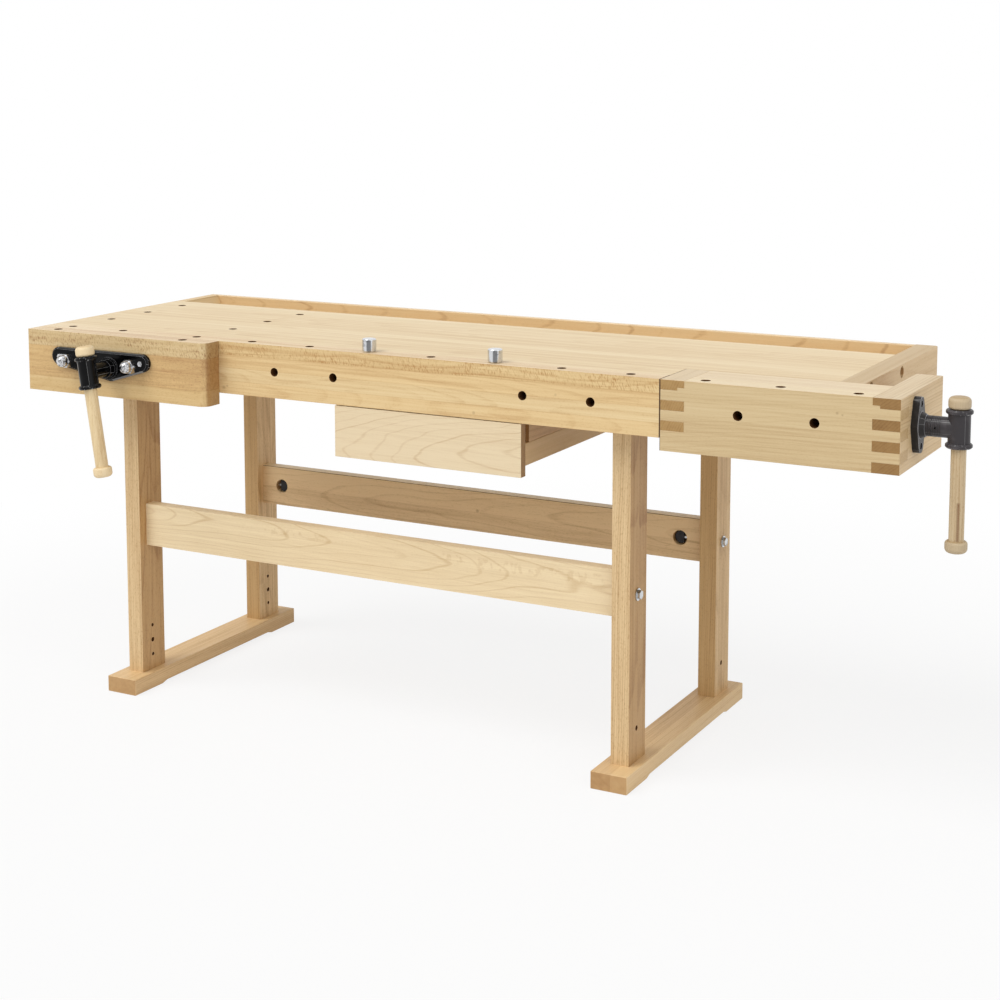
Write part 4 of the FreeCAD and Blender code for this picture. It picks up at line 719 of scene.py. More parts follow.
    def _colour(self, at: Sample, tone: Signal) -> Signal:
        """Turns the tone into the wood's colour, with its knots, tints, ends and painted seam shadows.

        Args:
            at: The shaded point.
            tone: 0 for the deepest tone and 1 for the palest.

        Returns:
            The colour.
        """
        board = at.board
        stops = [(0.0, linear(self.dark)), (0.5, linear(self.body)), (1.0, linear(self.light))]
        colour = board.signal("ShaderNodeValToRGB", {"stops": stops}, {0: tone})
        for one in self.knots:
            colour = one.over(at, colour)
        for share, tint in self._tints(at):
            tinted = board.signal("ShaderNodeVectorMath", {"operation": "MULTIPLY"}, {0: colour, 1: tint})
            colour = board.colours(share, colour, tinted)
        cut = at.facing[self.grain.value].between(*END_GRAIN)
        colour = board.colours(cut, colour, board.colours(1.0, colour, linear(self.end), "MULTIPLY"))
        for seam in self.seams:
            colour = seam.over(at, colour)
        return colour


@dataclass(frozen=True)
class Enamel:
    """Paint on a casting.

    Grit is the strength of its relief, shine that of its highlights. Thin pale lines, painted
    into the colour by the direction that the surface faces, are a painted highlight. Ribs gives
    the two ends, along X, of a stretch that is cast with fine ribs, with painted shade in the
    grooves between them. A rate counts waves to the metre.
    """

    name: str
    shade: Triple
    roughness: float
    grit: float
    shine: float = 0.2
    glint: float = 0.3
    glint_shade: Triple = (196, 196, 196)
    ribs: Optional[Span] = None
    rib_pitch: float = 0.0032
    rib_blur: float = 0.003
    rib_shade: Triple = (24, 23, 24)
    rib_dark: float = 0.5
    rib_relief: float = 0.5
    rib_grit: float = 0.3
    grit_rate: float = 420.0
    cloud_rate: float = 30.0
    cloud_span: Span = (0.45, 0.75)
    glint_scale: float = 1.7
    glint_place: float = 0.56
    glint_span: Span = (0.004, 0.022)
    smudge: float = 0.12
    depth: float = 0.0006

    def make(self) -> bpy.types.Material:
        """Builds the material.

        Returns:
            The material.
        """
        board = Board(self.name)
        grit = board.speckle(self.grit_rate, 2.0)
        cloud = board.speckle(self.cloud_rate, 2.0)
        rubbed = tuple(min(255.0, part * 1.5 + 6.0) for part in self.shade)
        colour = board.colours(cloud.between(*self.cloud_span), linear(self.shade), linear(rubbed))
        # Painted highlight: thin pale lines laid by the direction that the surface faces.
        off = abs(board.mirrored(self.glint_scale, 0.0) - self.glint_place)
        glint = (1 - off.between(*self.glint_span)) * self.glint
        colour = board.colours(glint, colour, linear(self.glint_shade))
        relief, strength = grit, self.grit
        if self.ribs:
            x = board.place()[0]
            ribbed = x.inside(*self.ribs, self.rib_blur)
            wave = board.maths("SINE", x * (math.tau / self.rib_pitch)) * 0.5 + 0.5
            # Painted shade in the grooves between the ribs.
            colour = board.colours((1 - wave) * ribbed * self.rib_dark, colour, linear(self.rib_shade))
            relief, strength = grit * self.rib_grit + wave * ribbed, self.rib_relief
        return board.finish(
            (relief, strength, self.depth),
            Base_Color=colour,
            Roughness=cloud * self.smudge + (self.roughness - self.smudge / 2),
            Specular_IOR_Level=self.shine,
        )


@dataclass(frozen=True)
class Steel:
    """Bare or plated metal.

    Turned names the axis that tool marks run round, and smudge is how uneven the polish is.
    Dark patches painted into the colour by the direction that the surface faces are a painted
    reflection of a room, of a given strength. A direction, in degrees round Z, lays dark painted
    reflection stripes down a round piece. A rate counts waves to the metre.
    """

    name: str
    shade: Triple
    roughness: float
    turned: Optional[Axis] = None
    smudge: float = 0.1
    contrast: float = 0.0
    stripe: Optional[float] = None
    cloud_rate: float = 90.0
    cloud_span: Span = (0.5, 0.8)
    cloud_dark: float = 0.72
    patch_scale: float = 2.3
    patch_span: Span = (0.42, 0.60)
    patch_dark: float = 0.30
    # How the painted reflection stripes are laid.
    stripe_span: Span = (0.70, 0.90)
    stripe_gloom: float = 0.78
    cross_span: Span = (-0.99, -0.80)
    cross_gloom: float = 0.30
    stripe_dark: float = 0.36
    turned_rate: float = 2600.0
    grit_rate: float = 700.0
    relief: float = 0.12
    depth: float = 0.0002

    def make(self) -> bpy.types.Material:
        """Builds the material.

        Returns:
            The material.
        """
        board = Board(self.name)
        cloud = board.speckle(self.cloud_rate, 3.0)
        cloudy = cloud.between(*self.cloud_span)
        colour = board.colours(cloudy, linear(self.shade), scaled(self.shade, self.cloud_dark))
        # Painted reflection: dark patches laid by the direction that the surface faces.
        if self.contrast:
            reflection_patch = board.mirrored(self.patch_scale, 1.0).between(*self.patch_span) * self.contrast
            colour = board.colours(reflection_patch, colour, scaled(self.shade, self.patch_dark))
        # Painted reflection: dark stripes down a round piece.
        if self.stripe is not None:
            colour = board.colours(self._striped(board), colour, scaled(self.shade, self.stripe_dark))
        if self.turned:
            line = board.noise((board.place()[self.turned.value] * self.turned_rate, 0.0, 0.0), 1.0)
        else:
            line = board.speckle(self.grit_rate, 1.0)
        return board.finish(
            (line, self.relief, self.depth),
            Base_Color=colour,
            Metallic=1.0,
            Roughness=cloud * self.smudge + (self.roughness - self.smudge / 2),
        )

    def _striped(self, board: Board) -> Signal:
        """Painted reflection stripes: dark ones on the sides that face their direction, fainter ones between.

        Args:
            board: The board of nodes.

        Returns:
            The stripes' strength.
        """
        east, north, _ = board.outward()
        twice = math.radians(2 * self.stripe)
        wave = (east * east - north * north) * math.cos(twice) + east * north * (2 * math.sin(twice))
        across = 1 - wave.between(*self.cross_span)
        return wave.between(*self.stripe_span) * self.stripe_gloom + across * self.cross_gloom


Finish = Union[Wood, Enamel, Steel]


class Finishes:
    """All finishes of the bench, each made once."""

    def __init__(self) -> None:
        """Starts with no materials."""
        self.made: Dict[str, bpy.types.Material] = {}

    def get(self, finish: Finish) -> bpy.types.Material:
        """Looks a finish up.

        Args:
            finish: The finish.

        Returns:
            Its material, made at its first use.
        """
        if finish.name not in self.made:
            self.made[finish.name] = finish.make()
        return self.made[finish.name]


FINISHES = Finishes()

# Bench coordinates run from the left end, the apron's face and the floor, in millimetres.
BENCH_ORIGIN = Vector((1060.4, 251.95, 0.0))


def spot(x: float, y: float, z: float) -> Vector:
    """A place in bench coordinates as a point of the frame."""
    return (Vector((x, y, z)) - BENCH_ORIGIN) / 1000


def knot(x: float, y: float, z: float, size: float = 0.005, depth: float = 0.5) -> Knot:
    """A knot at a place in bench coordinates."""
    point = spot(x, y, z)
    return Knot((point.x, point.y, point.z), size, depth)


@dataclass(frozen=True)
class Bore:
    """A round hole: a point on its axis, in bench millimetres, and its direction."""

    x: float
    y: float
    z: float
    axis: Axis = Axis.Z
    radius: float = 0.0100

    def holds(self, face: bmesh.types.BMFace) -> bool:
        """Tells whether a face is part of the hole's wall.

        Args:
            face: The face.

        Returns:
            True if all its corners lie within the hole's radius.
        """
        middle = spot(self.x, self.y, self.z)
        for vertex in face.verts:
            offset = vertex.co - middle
            offset[self.axis.value] = 0.0
            if offset.length > self.radius:
                return False
        return True


# Darker wood for the walls of holes: painted shade of a hole's inside.
BORE_SHADE = Wood(
    "bore wall", (116, 80, 50), (92, 60, 36), (56, 35, 21), Axis.Z, Axis.X,
    shine=0.0, end=(255, 255, 255), seed=2,
)
ROW_DEPTH = 26
TOP_LEVEL = 800
FACE_LEVEL = 792
COLUMNS = (68, 421)
FRONT_BORES = tuple(Bore(x, ROW_DEPTH, TOP_LEVEL) for x in (68, 214, *range(421, 1472, 150)))
FACE_BORES = tuple(Bore(x, ROW_DEPTH, FACE_LEVEL, Axis.Y) for x in (646, 796, 1246, 1396))
SLAB_BORES = tuple(Bore(x, y, TOP_LEVEL) for x in COLUMNS for y in (163, 300, 437))
JAW_BORES = tuple(Bore(x, -25.3, TOP_LEVEL) for x in COLUMNS)
TAIL_BORES = (
    *(Bore(x, ROW_DEPTH, TOP_LEVEL) for x in (1627, 1777, 1927)),
    *(Bore(x, ROW_DEPTH, FACE_LEVEL, Axis.Y) for x in (1702, 1852)),
)
LEG_BORES = tuple(Bore(200, y, z, Axis.X, 0.0058) for y in (100, 574) for z in (72, 107, 142))
# A painted shadow in the gap between the apron and the tail vise.
JAW_GAP_SHADOW = Seam(Axis.X, spot(1543.15, 0, 0).x, 0.0014)


def body_of(node: str) -> str:
    """The body that a node rides on."""
    return str(frame["nodes"][node]["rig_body"])


def rest(node: str, finish: Finish) -> None:
    """Gives a node that stays as it is its material.

    Args:
        node: The node.
        finish: Its finish.
    """
    mesh = frame["nodes"][node].data
    mesh.materials.clear()
    mesh.materials.append(FINISHES.get(finish))
    LOG.info("node %s: %s", node, finish.name)


def eased(
    node: str,
    finish: Finish,
    width: float = 0.0011,
    bores: Sequence[Bore] = (),
    flat: bool = True,
    rim: Optional[Finish] = None,
) -> bpy.types.Object:
    """Makes a piece with softened arrises that stands for a node.

    Args:
        node: The node whose shape the piece takes.
        finish: The piece's finish.
        width: Width of the softened edge.
        bores: Holes whose walls get darker wood, the painted shade inside a hole.
        flat: Whether the triangles of a flat face are joined first.
        rim: Finish of the softened edges, where it differs, such as a paler enamel that paints a highlight
            along them.

    Returns:
        The piece, already riding on the node's body.
    """
    merge, level, sharp, crease = 1e-5, 0.4, 38.0, 50.0
    shape = bmesh.new()
    shape.from_mesh(frame["nodes"][node].data)
    bmesh.ops.remove_doubles(shape, verts=shape.verts, dist=merge)
    if flat:
        bmesh.ops.dissolve_limit(shape, angle_limit=math.radians(level), verts=shape.verts, edges=shape.edges)
    arrises = [e for e in shape.edges if e.is_manifold and e.calc_face_angle(0.0) > math.radians(sharp)]
    softened = bmesh.ops.bevel(
        shape, geom=arrises, offset=width, offset_type="OFFSET", segments=2, profile=0.5,
        affect="EDGES", clamp_overlap=True, material=-1,
    )
    edges = set(softened["faces"]) if rim else ()
    for face in shape.faces:
        face.material_index = int(face in edges or any(bore.holds(face) for bore in bores))
    return placed(shape, node + "_eased", body_of(node), finish, (node,), crease, rim or BORE_SHADE)


def placed(
    shape: bmesh.types.BMesh,
    name: str,
    body: str,
    finish: Finish,
    nodes: Iterable[str] = (),
    crease: float = 35.0,
    second: Optional[Finish] = None,
) -> bpy.types.Object:
    """Turns a finished shape into a piece of the bench.

    Args:
        shape: The shape, with its place in its vertices. It is freed.
        name: The piece's name.
        body: The body that it rides on.
        finish: Its finish.
        nodes: Nodes that it stands for.
        crease: Edges sharper than this many degrees stay crisp.
        second: Finish of the faces with material index 1.

    Returns:
        The piece.
    """
    for face in shape.faces:
        face.smooth = True
    for edge in shape.edges:
        edge.smooth = not edge.is_manifold or edge.calc_face_angle(0.0) < math.radians(crease)
    mesh = bpy.data.meshes.new(name)
    mesh.materials.append(FINISHES.get(finish))
    if any(face.material_index for face in shape.faces):
        mesh.materials.append(FINISHES.get(second))
    shape.to_mesh(mesh)
    shape.free()
    piece = bpy.data.objects.new(name, mesh)
    bpy.context.scene.collection.objects.link(piece)
    weighted = piece.modifiers.new("flat faces stay flat", "WEIGHTED_NORMAL")
    weighted.keep_sharp = True
    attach(piece, body)
    if nodes:
        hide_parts(*nodes)
    LOG.info("piece %s on %s", name, body)
    return piece


def turned_to(direction: Vector, centre: Vector) -> Matrix:
    """The matrix that lays a shape's own Z along a direction and its origin at a point."""
    turn = Vector((0, 0, 1)).rotation_difference(direction).to_matrix().to_4x4()
    return Matrix.Translation(centre) @ turn


@dataclass
class Worktop:
    """Slab, apron, end cap and tool tray."""

    slab: Wood = Wood(
        "slab beech", (236, 219, 185), (224, 202, 163), (196, 162, 114), Axis.X, Axis.Y,
        stave=0.043, start=-0.2519, tone=0.20, figure=0.12, ring=0.0035, stray=0.10, pith=(0, 0, 0.6),
        streak=0.80, fine=110, drift=0.25, fleck=0.03, glue=0.06, seed=3,
    )
    apron: Wood = Wood(
        "apron beech", (235, 210, 163), (220, 190, 139), (184, 140, 86), Axis.X, Axis.Z,
        stave=0.0288, start=0.735, tone=0.10, figure=0.16, ring=0.0040, thin=0.60, pith=(0, 0, -0.15),
        lean=(0.0, 0.012), stray=0.10, bow=0.03, wave=0.8, streak=0.9, fine=130, drift=0.35, fleck=0.09,
        glue=0.12, seed=11,
        bands=(
            Band(0.735, 0.7638, -0.02, 0.05),
            Band(0.7638, 0.7926, 0.06, 0.03, (1.0, 1.03, 1.08)),
            Band(0.7926, 0.8214, -0.02),
            Band(0.8214, 0.852, -0.04, 0.50, (0.98, 0.99, 0.98)),
        ),
        knots=(
            knot(512, 0, 748, 0.006, 0.30), knot(521, 0, 752, 0.004, 0.30), knot(1135, 0, 747, 0.005, 0.3),
            knot(1320, 0, 800, 0.004, 0.2),
        ),
        faces=((Axis.Z, (236, 217, 182)),), seams=(JAW_GAP_SHADOW,),
    )
    cap: Wood = Wood(
        "end cap beech", (230, 204, 162), (214, 184, 140), (184, 148, 102), Axis.Y, Axis.Z,
        stave=0.05, start=0.70, tone=0.18, figure=0.14, stray=0.05, pith=(0, 0, 1.05), streak=0.6, seed=5,
        faces=((Axis.Z, (194, 168, 128)),),
    )
    rail: Wood = Wood(
        "rail beech", (224, 198, 156), (210, 179, 134), (166, 128, 90), Axis.X, Axis.Z,
        figure=0.34, ring=0.008, thin=0.80, pith=(-0.9, 0.834, 0.44), lean=(0.004, 0.065), bow=0.03,
        wave=0.7, streak=0.40, drift=0.4, seed=8, faces=((Axis.Z, (222, 200, 166)),),
    )
    tray: Wood = Wood(
        "tray beech", (238, 218, 180), (226, 202, 158), (196, 164, 118), Axis.X, Axis.Y,
        figure=0.15, ring=0.006, pith=(0, 0.3, 0.6), seed=14,
    )
    end: Wood = Wood(
        "tray end beech", (228, 204, 162), (214, 186, 140), (180, 144, 98), Axis.Y, Axis.Z,
        figure=0.15, pith=(0, 0.8, -1.2), seed=17,
    )

    def build(self, metal: "Hardware") -> None:
        """Builds the pieces.

        Args:
            metal: Finishes of the bolts.
        """
        eased("bench_slab", self.slab, bores=SLAB_BORES)
        eased("front_apron", self.apron, bores=FRONT_BORES + FACE_BORES)
        eased("right_end_cap", self.cap)
        eased("tray_bottom", self.tray)
        eased("tray_ramps", self.end)
        eased("tray_end_left", self.end)
        eased("back_rail", self.rail, 0.0007)
        eased("end_cap_bolts", metal.pale, 0.0004)
        rest("end_cap_cross_nuts", metal.zinc)
        rest("tail_guide_rail", self.tray)


@dataclass
class Hardware:
    """Finishes of the small metal parts."""

    # Several steels carry dark patches of painted reflection, and the dogs painted reflection stripes.
    zinc: Steel = Steel("zinc plate", (212, 214, 216), 0.28, contrast=0.5)
    pale: Steel = Steel("pale zinc", (236, 237, 238), 0.4)
    bright: Steel = Steel("bright plate", (218, 218, 220), 0.22, smudge=0.06, contrast=0.7)
    turned: Steel = Steel("turned steel", (208, 210, 213), 0.24, Axis.Z, 0.08, contrast=0.6)
    oiled: Steel = Steel("oiled steel", (120, 120, 122), 0.30, contrast=0.5)
    # Dark steel for the nuts in the leg pockets: painted shade of the holes they sit in.
    pocket: Steel = Steel("pocket steel", (50, 48, 48), 0.30)
    bronze: Steel = Steel("bush bronze", (176, 140, 88), 0.35)
    gloss: Enamel = Enamel("gloss black enamel", (6, 6, 7), 0.17, 0.05, 0.12, 0.45)
    satin: Enamel = Enamel("satin black enamel", (38, 36, 36), 0.36, 0.20)
    grey: Enamel = Enamel("satin grey enamel", (57, 54, 56), 0.36, 0.16, ribs=(0.972, 1.008))
    # Paler enamel for the softened rims of the castings: a painted highlight along their edges.
    gloss_rim: Enamel = Enamel("rubbed gloss rim", (92, 92, 95), 0.22, 0.05, 0.3)
    grey_rim: Enamel = Enamel("rubbed grey rim", (132, 130, 133), 0.28, 0.10, 0.3)
    dog: Steel = Steel("bright turned steel", (214, 216, 219), 0.22, Axis.Z, 0.06, stripe=-62.0)


@dataclass
class Base:
    """Legs, feet, bearers and stretchers with their bolts."""

    # The legs' side faces across X are darker: partly a different cut of the grain, partly painted shade
    # under the top.
    leg: Wood = Wood(
        "leg beech", (230, 205, 162), (217, 188, 143), (174, 136, 90), Axis.Z, Axis.Y,
        stave=0.041, start=-0.18995, tone=0.16, figure=0.26, ring=0.005, stray=0.12, pith=(0, 0, -1.1),
        lean=(0.01, 0.03), bow=0.02, streak=0.8, fine=120, drift=0.12, seed=20, glue=0.06, fleck=0.18,
        faces=((Axis.X, (188, 150, 101)),),
    )
    back_leg: Wood = Wood(
        "back leg beech", (208, 176, 126), (192, 156, 106), (154, 116, 70), Axis.Z, Axis.Y,
        stave=0.041, start=-0.18995, tone=0.18, figure=0.24, ring=0.005, stray=0.12, pith=(0, 0, -1.1),
        lean=(0.01, 0.03), bow=0.02, streak=0.9, fine=120, drift=0.2, seed=22, glue=0.08, fleck=0.18,
        faces=((Axis.X, (212, 178, 130)),),
    )
    foot: Wood = Wood(
        "foot beech", (236, 210, 166), (222, 190, 142), (186, 148, 102), Axis.Y, Axis.X,
        stave=0.040, start=-0.9004, tone=0.22, figure=0.28, ring=0.004, streak=0.6, stray=0.04,
        pith=(0, 0.10, 0.14), seed=26, glue=0.12, end=(214, 200, 184),
    )
    front_stretcher: Wood = Wood(
        "front stretcher beech", (242, 226, 190), (234, 213, 174), (192, 158, 110), Axis.X, Axis.Z,
        figure=0.20, ring=0.0075, thin=0.78, pith=(-0.25, 0.405, -0.10), lean=(-0.03, 0.06), bow=0.06,
        wave=1.1, streak=0.30, drift=0.2, seed=27, fleck=0.05,
        curls=(Curl(-0.60, -0.30, 0.412, 0.012, 0.016, 0.10), Curl(-0.10, 0.37, 0.408, 0.016, 0.015, 0.12)),
    )
    back_stretcher: Wood = Wood(
        "back stretcher beech", (232, 204, 160), (221, 190, 145), (166, 130, 90), Axis.X, Axis.Z,
        figure=0.20, ring=0.0060, thin=0.70, pith=(-0.3, 0.385, 0.40), lean=(0.02, -0.03), bow=0.04,
        wave=1.0, streak=0.45, seed=31, fleck=0.10, faces=((Axis.Z, (234, 214, 178)),),
        # The band darkens a strip of the front face towards the bottom.
        knots=(knot(840, 560, 388, 0.006, 0.4),), bands=(Band(0.330, 0.384, -0.13),),
        # A painted shadow line along the top edge of the front face.
        seams=(Seam(Axis.Z, 0.4349, 0.0006),),
    )
    bearer: Wood = Wood(
        "bearer beech", (226, 196, 150), (208, 174, 126), (170, 134, 90), Axis.Y, Axis.X,
        pith=(0, 0, 0.4), seed=33,
    )
    dowel: Wood = Wood(
        "dowel beech", (232, 206, 160), (218, 188, 140), (180, 146, 100), Axis.X, Axis.Z, seed=35,
    )

    def build(self, metal: Hardware) -> None:
        """Builds the pieces.

        Args:
            metal: Finishes of the bolts, washers and nuts.
        """
        for side in ("left", "right"):
            for row in ("front", "back"):
                eased(f"{side}_{row}_leg", self.leg if row == "front" else self.back_leg, 0.0014, LEG_BORES)
            eased(f"{side}_foot", self.foot, 0.0016)
            eased(f"{side}_bearer", self.bearer)
        eased("front_stretcher", self.front_stretcher, 0.0014)
        eased("back_stretcher", self.back_stretcher, 0.0014)
        rest("frame_dowels", self.dowel)
        eased("frame_bolts", metal.zinc, 0.0005)
        eased("frame_washers", metal.zinc, 0.0003)
        rest("frame_nuts", metal.pocket)
        rest("top_screws", metal.zinc)


@dataclass
class Handle:
    """A sliding bar with two turned knobs, and the finishes of both.

    A knob has a radius and a height, and a socket of its own depth that takes the bar. Its
    inner edge is rounded by shoulder and its outer edge by crown.
    """

    rod: Wood = Wood(
        "handle beech", (238, 220, 182), (228, 205, 162), (190, 156, 108), Axis.Z, Axis.X,
        figure=0.25, ring=0.006, streak=0.9, drift=0.4, seed=41, pith=(0, -0.9, -0.1),
    )
    knob: Wood = Wood(
        "knob beech", (240, 224, 188), (230, 207, 166), (200, 168, 122), Axis.Z, Axis.X,
        figure=0.15, ring=0.004, streak=0.35, seed=43, pith=(0, -0.9, -0.1), end=(238, 230, 216),
    )
    radius: float = 0.0208
    height: float = 0.023
    bar: float = 0.014
    socket: float = 0.016
    seat: float = 0.0363
    length: float = 0.292
    crown: float = 0.0088
    shoulder: float = 0.0060
    facets: int = 48
    arc_steps: int = 7

    def build(self, vise: str, centre: Vector, direction: Vector) -> None:
        """Builds the rod and the knobs of one vise.

        Args:
            vise: front or tail.
            centre: Middle of the hub.
            direction: Direction of the bar, from its lower to its upper end.
        """
        rest(f"{vise}_handle_rod", self.rod)
        node = f"{vise}_handle_knobs"
        shape = bmesh.new()
        for way, seat in ((1, self.seat), (-1, self.length - 2 * self.height - self.seat)):
            self._turn(shape, way, seat)
        bmesh.ops.remove_doubles(shape, verts=shape.verts, dist=1e-6)
        bmesh.ops.recalc_face_normals(shape, faces=shape.faces)
        shape.transform(turned_to(direction, centre))
        placed(shape, node + "_turned", body_of(node), self.knob, (node,))

    def _turn(self, shape: bmesh.types.BMesh, way: int, seat: float) -> None:
        """Turns one knob.

        Args:
            shape: The shape that takes the knob.
            way: 1 for the upper knob and -1 for the lower one.
            seat: Distance of its inner face from the hub's centre.
        """
        outline = [(0.0, self.socket), (self.bar, self.socket), (self.bar, 0.0)]
        outline += self._arc(self.shoulder, self.shoulder, -90)
        outline += self._arc(self.crown, self.height - self.crown, 0)
        outline.append((0.0, self.height))
        points = [shape.verts.new((radius, 0.0, way * (seat + level))) for radius, level in outline]
        lines = [shape.edges.new(pair) for pair in zip(points, points[1:])]
        bmesh.ops.spin(
            shape, geom=points + lines, cent=(0, 0, 0), axis=(0, 0, 1), angle=math.tau,
            steps=self.facets, use_merge=True,
        )

    def _arc(self, size: float, level: float, start: float) -> List[Tuple[float, float]]:
        """A quarter round at the knob's side, as places of radius and level."""
        turns = [math.radians(start + 90 * step / self.arc_steps) for step in range(self.arc_steps + 1)]
        return [(self.radius - size + size * math.cos(a), level + size * math.sin(a)) for a in turns]


@dataclass
class Thread:
    """A vise screw with a true helical thread, plain for its first stretch."""

    node: str
    start: Vector
    direction: Vector
    plain: float
    length: float
    radius: float = 0.012
    core: float = 0.0098
    lead: float = 0.006
    slope: float = 15.0
    sides: int = 32

    def build(self, finish: Steel) -> bpy.types.Object:
        """Builds the screw.

        Args:
            finish: The screw's finish.

        Returns:
            The piece.
        """
        shape = bmesh.new()
        flank = (self.radius - self.core) * math.tan(math.radians(self.slope))
        crest = (self.lead - 2 * flank) / 2
        steps = (
            (self.radius, 0.0),
            (self.core, flank),
            (self.core, flank + crest),
            (self.radius, 2 * flank + crest),
            (self.radius, self.lead),
        )
        profile = [shape.verts.new((radius, 0.0, along - self.lead)) for radius, along in steps]
        ridge = [shape.edges.new(pair) for pair in zip(profile, profile[1:])]
        turns = int((self.length - self.plain) / self.lead) + 3
        bmesh.ops.spin(
            shape, geom=profile + ridge, cent=(0, 0, 0), axis=(0, 0, 1), angle=math.tau * turns,
            dvec=(0, 0, self.lead / self.sides), steps=self.sides * turns, use_merge=False,
        )
        bmesh.ops.remove_doubles(shape, verts=shape.verts, dist=1e-6)
        for level, side in ((0.0, -1), (self.length - self.plain, 1)):
            cut = bmesh.ops.bisect_plane(
                shape, geom=shape.verts[:] + shape.edges[:] + shape.faces[:], dist=1e-7,
                plane_co=(0, 0, level), plane_no=(0, 0, side), clear_outer=True,
            )
            rim = [e for e in cut["geom_cut"] if isinstance(e, bmesh.types.BMEdge)]
            bmesh.ops.contextual_create(shape, geom=rim)
        bmesh.ops.create_cone(
            shape, cap_ends=True, segments=self.sides * 2, radius1=self.radius, radius2=self.radius,
            depth=self.plain, matrix=Matrix.Translation((0, 0, -self.plain / 2)),
        )
        bmesh.ops.recalc_face_normals(shape, faces=shape.faces)
        shape.transform(turned_to(self.direction, self.start + self.direction * self.plain))
        return placed(shape, self.node + "_threaded", body_of(self.node), finish, (self.node,))


@dataclass
class FrontVise:
    """Jaw, plate, guide rods, screw, hub and handle at the left end."""

    jaw: Wood = Wood(
        "jaw beech", (230, 202, 155), (210, 176, 122), (162, 116, 71), Axis.X, Axis.Z,
        stave=0.035, start=0.71, tone=0.06, figure=0.14, ring=0.004, thin=0.5, pith=(0, 0, -0.12),
        stray=0.06, bow=0.02, streak=0.60, fine=110, drift=0.6, fleck=0.14, glue=0.12, seed=51,
        end=(210, 194, 174),
        bands=(
            Band(0.708, 0.745, 0.04, tint=(0.98, 1.0, 1.0)),
            Band(0.745, 0.780, -0.06, 0.12),
            Band(0.780, 0.815, -0.02, 0.14),
            Band(0.815, 0.852, 0.02, 0.60, (0.96, 1.04, 1.17)),
        ),
        faces=((Axis.Z, (238, 218, 180)),),
    )
    screw_start: Triple = (243, -114.95, 779)
    hub_middle: Triple = (243, -133.3, 779)
    screw_plain: float = 0.12465
    screw_length: float = 0.36495
    handle_tilt: float = 9.0

    def build(self, metal: Hardware, handle: Handle) -> None:
        """Builds the pieces.

        Args:
            metal: Finishes of the metal parts.
            handle: The handle's finishes.
        """
        eased("front_jaw", self.jaw, bores=JAW_BORES)
        eased("front_vise_plate", metal.gloss, 0.0008, flat=False, rim=metal.gloss_rim)
        eased("front_vise_hub", metal.gloss, 0.0009, rim=metal.gloss_rim)
        eased("front_plate_screws", metal.bright, 0.0003)
        eased("front_cap_nuts", metal.bright, 0.0005, flat=False)
        rest("front_guide_rods", metal.turned)
        rest("front_screw_collar", metal.oiled)
        rest("front_rod_bushes", metal.bronze)
        rest("front_vise_nut", metal.satin)
        rest("vise_nut_screws", metal.zinc)
        start, inwards = spot(*self.screw_start), Vector((0, 1, 0))
        Thread("front_vise_screw", start, inwards, self.screw_plain, self.screw_length).build(metal.oiled)
        tilt = math.radians(self.handle_tilt)
        handle.build("front", spot(*self.hub_middle), Vector((-math.sin(tilt), 0, math.cos(tilt))))


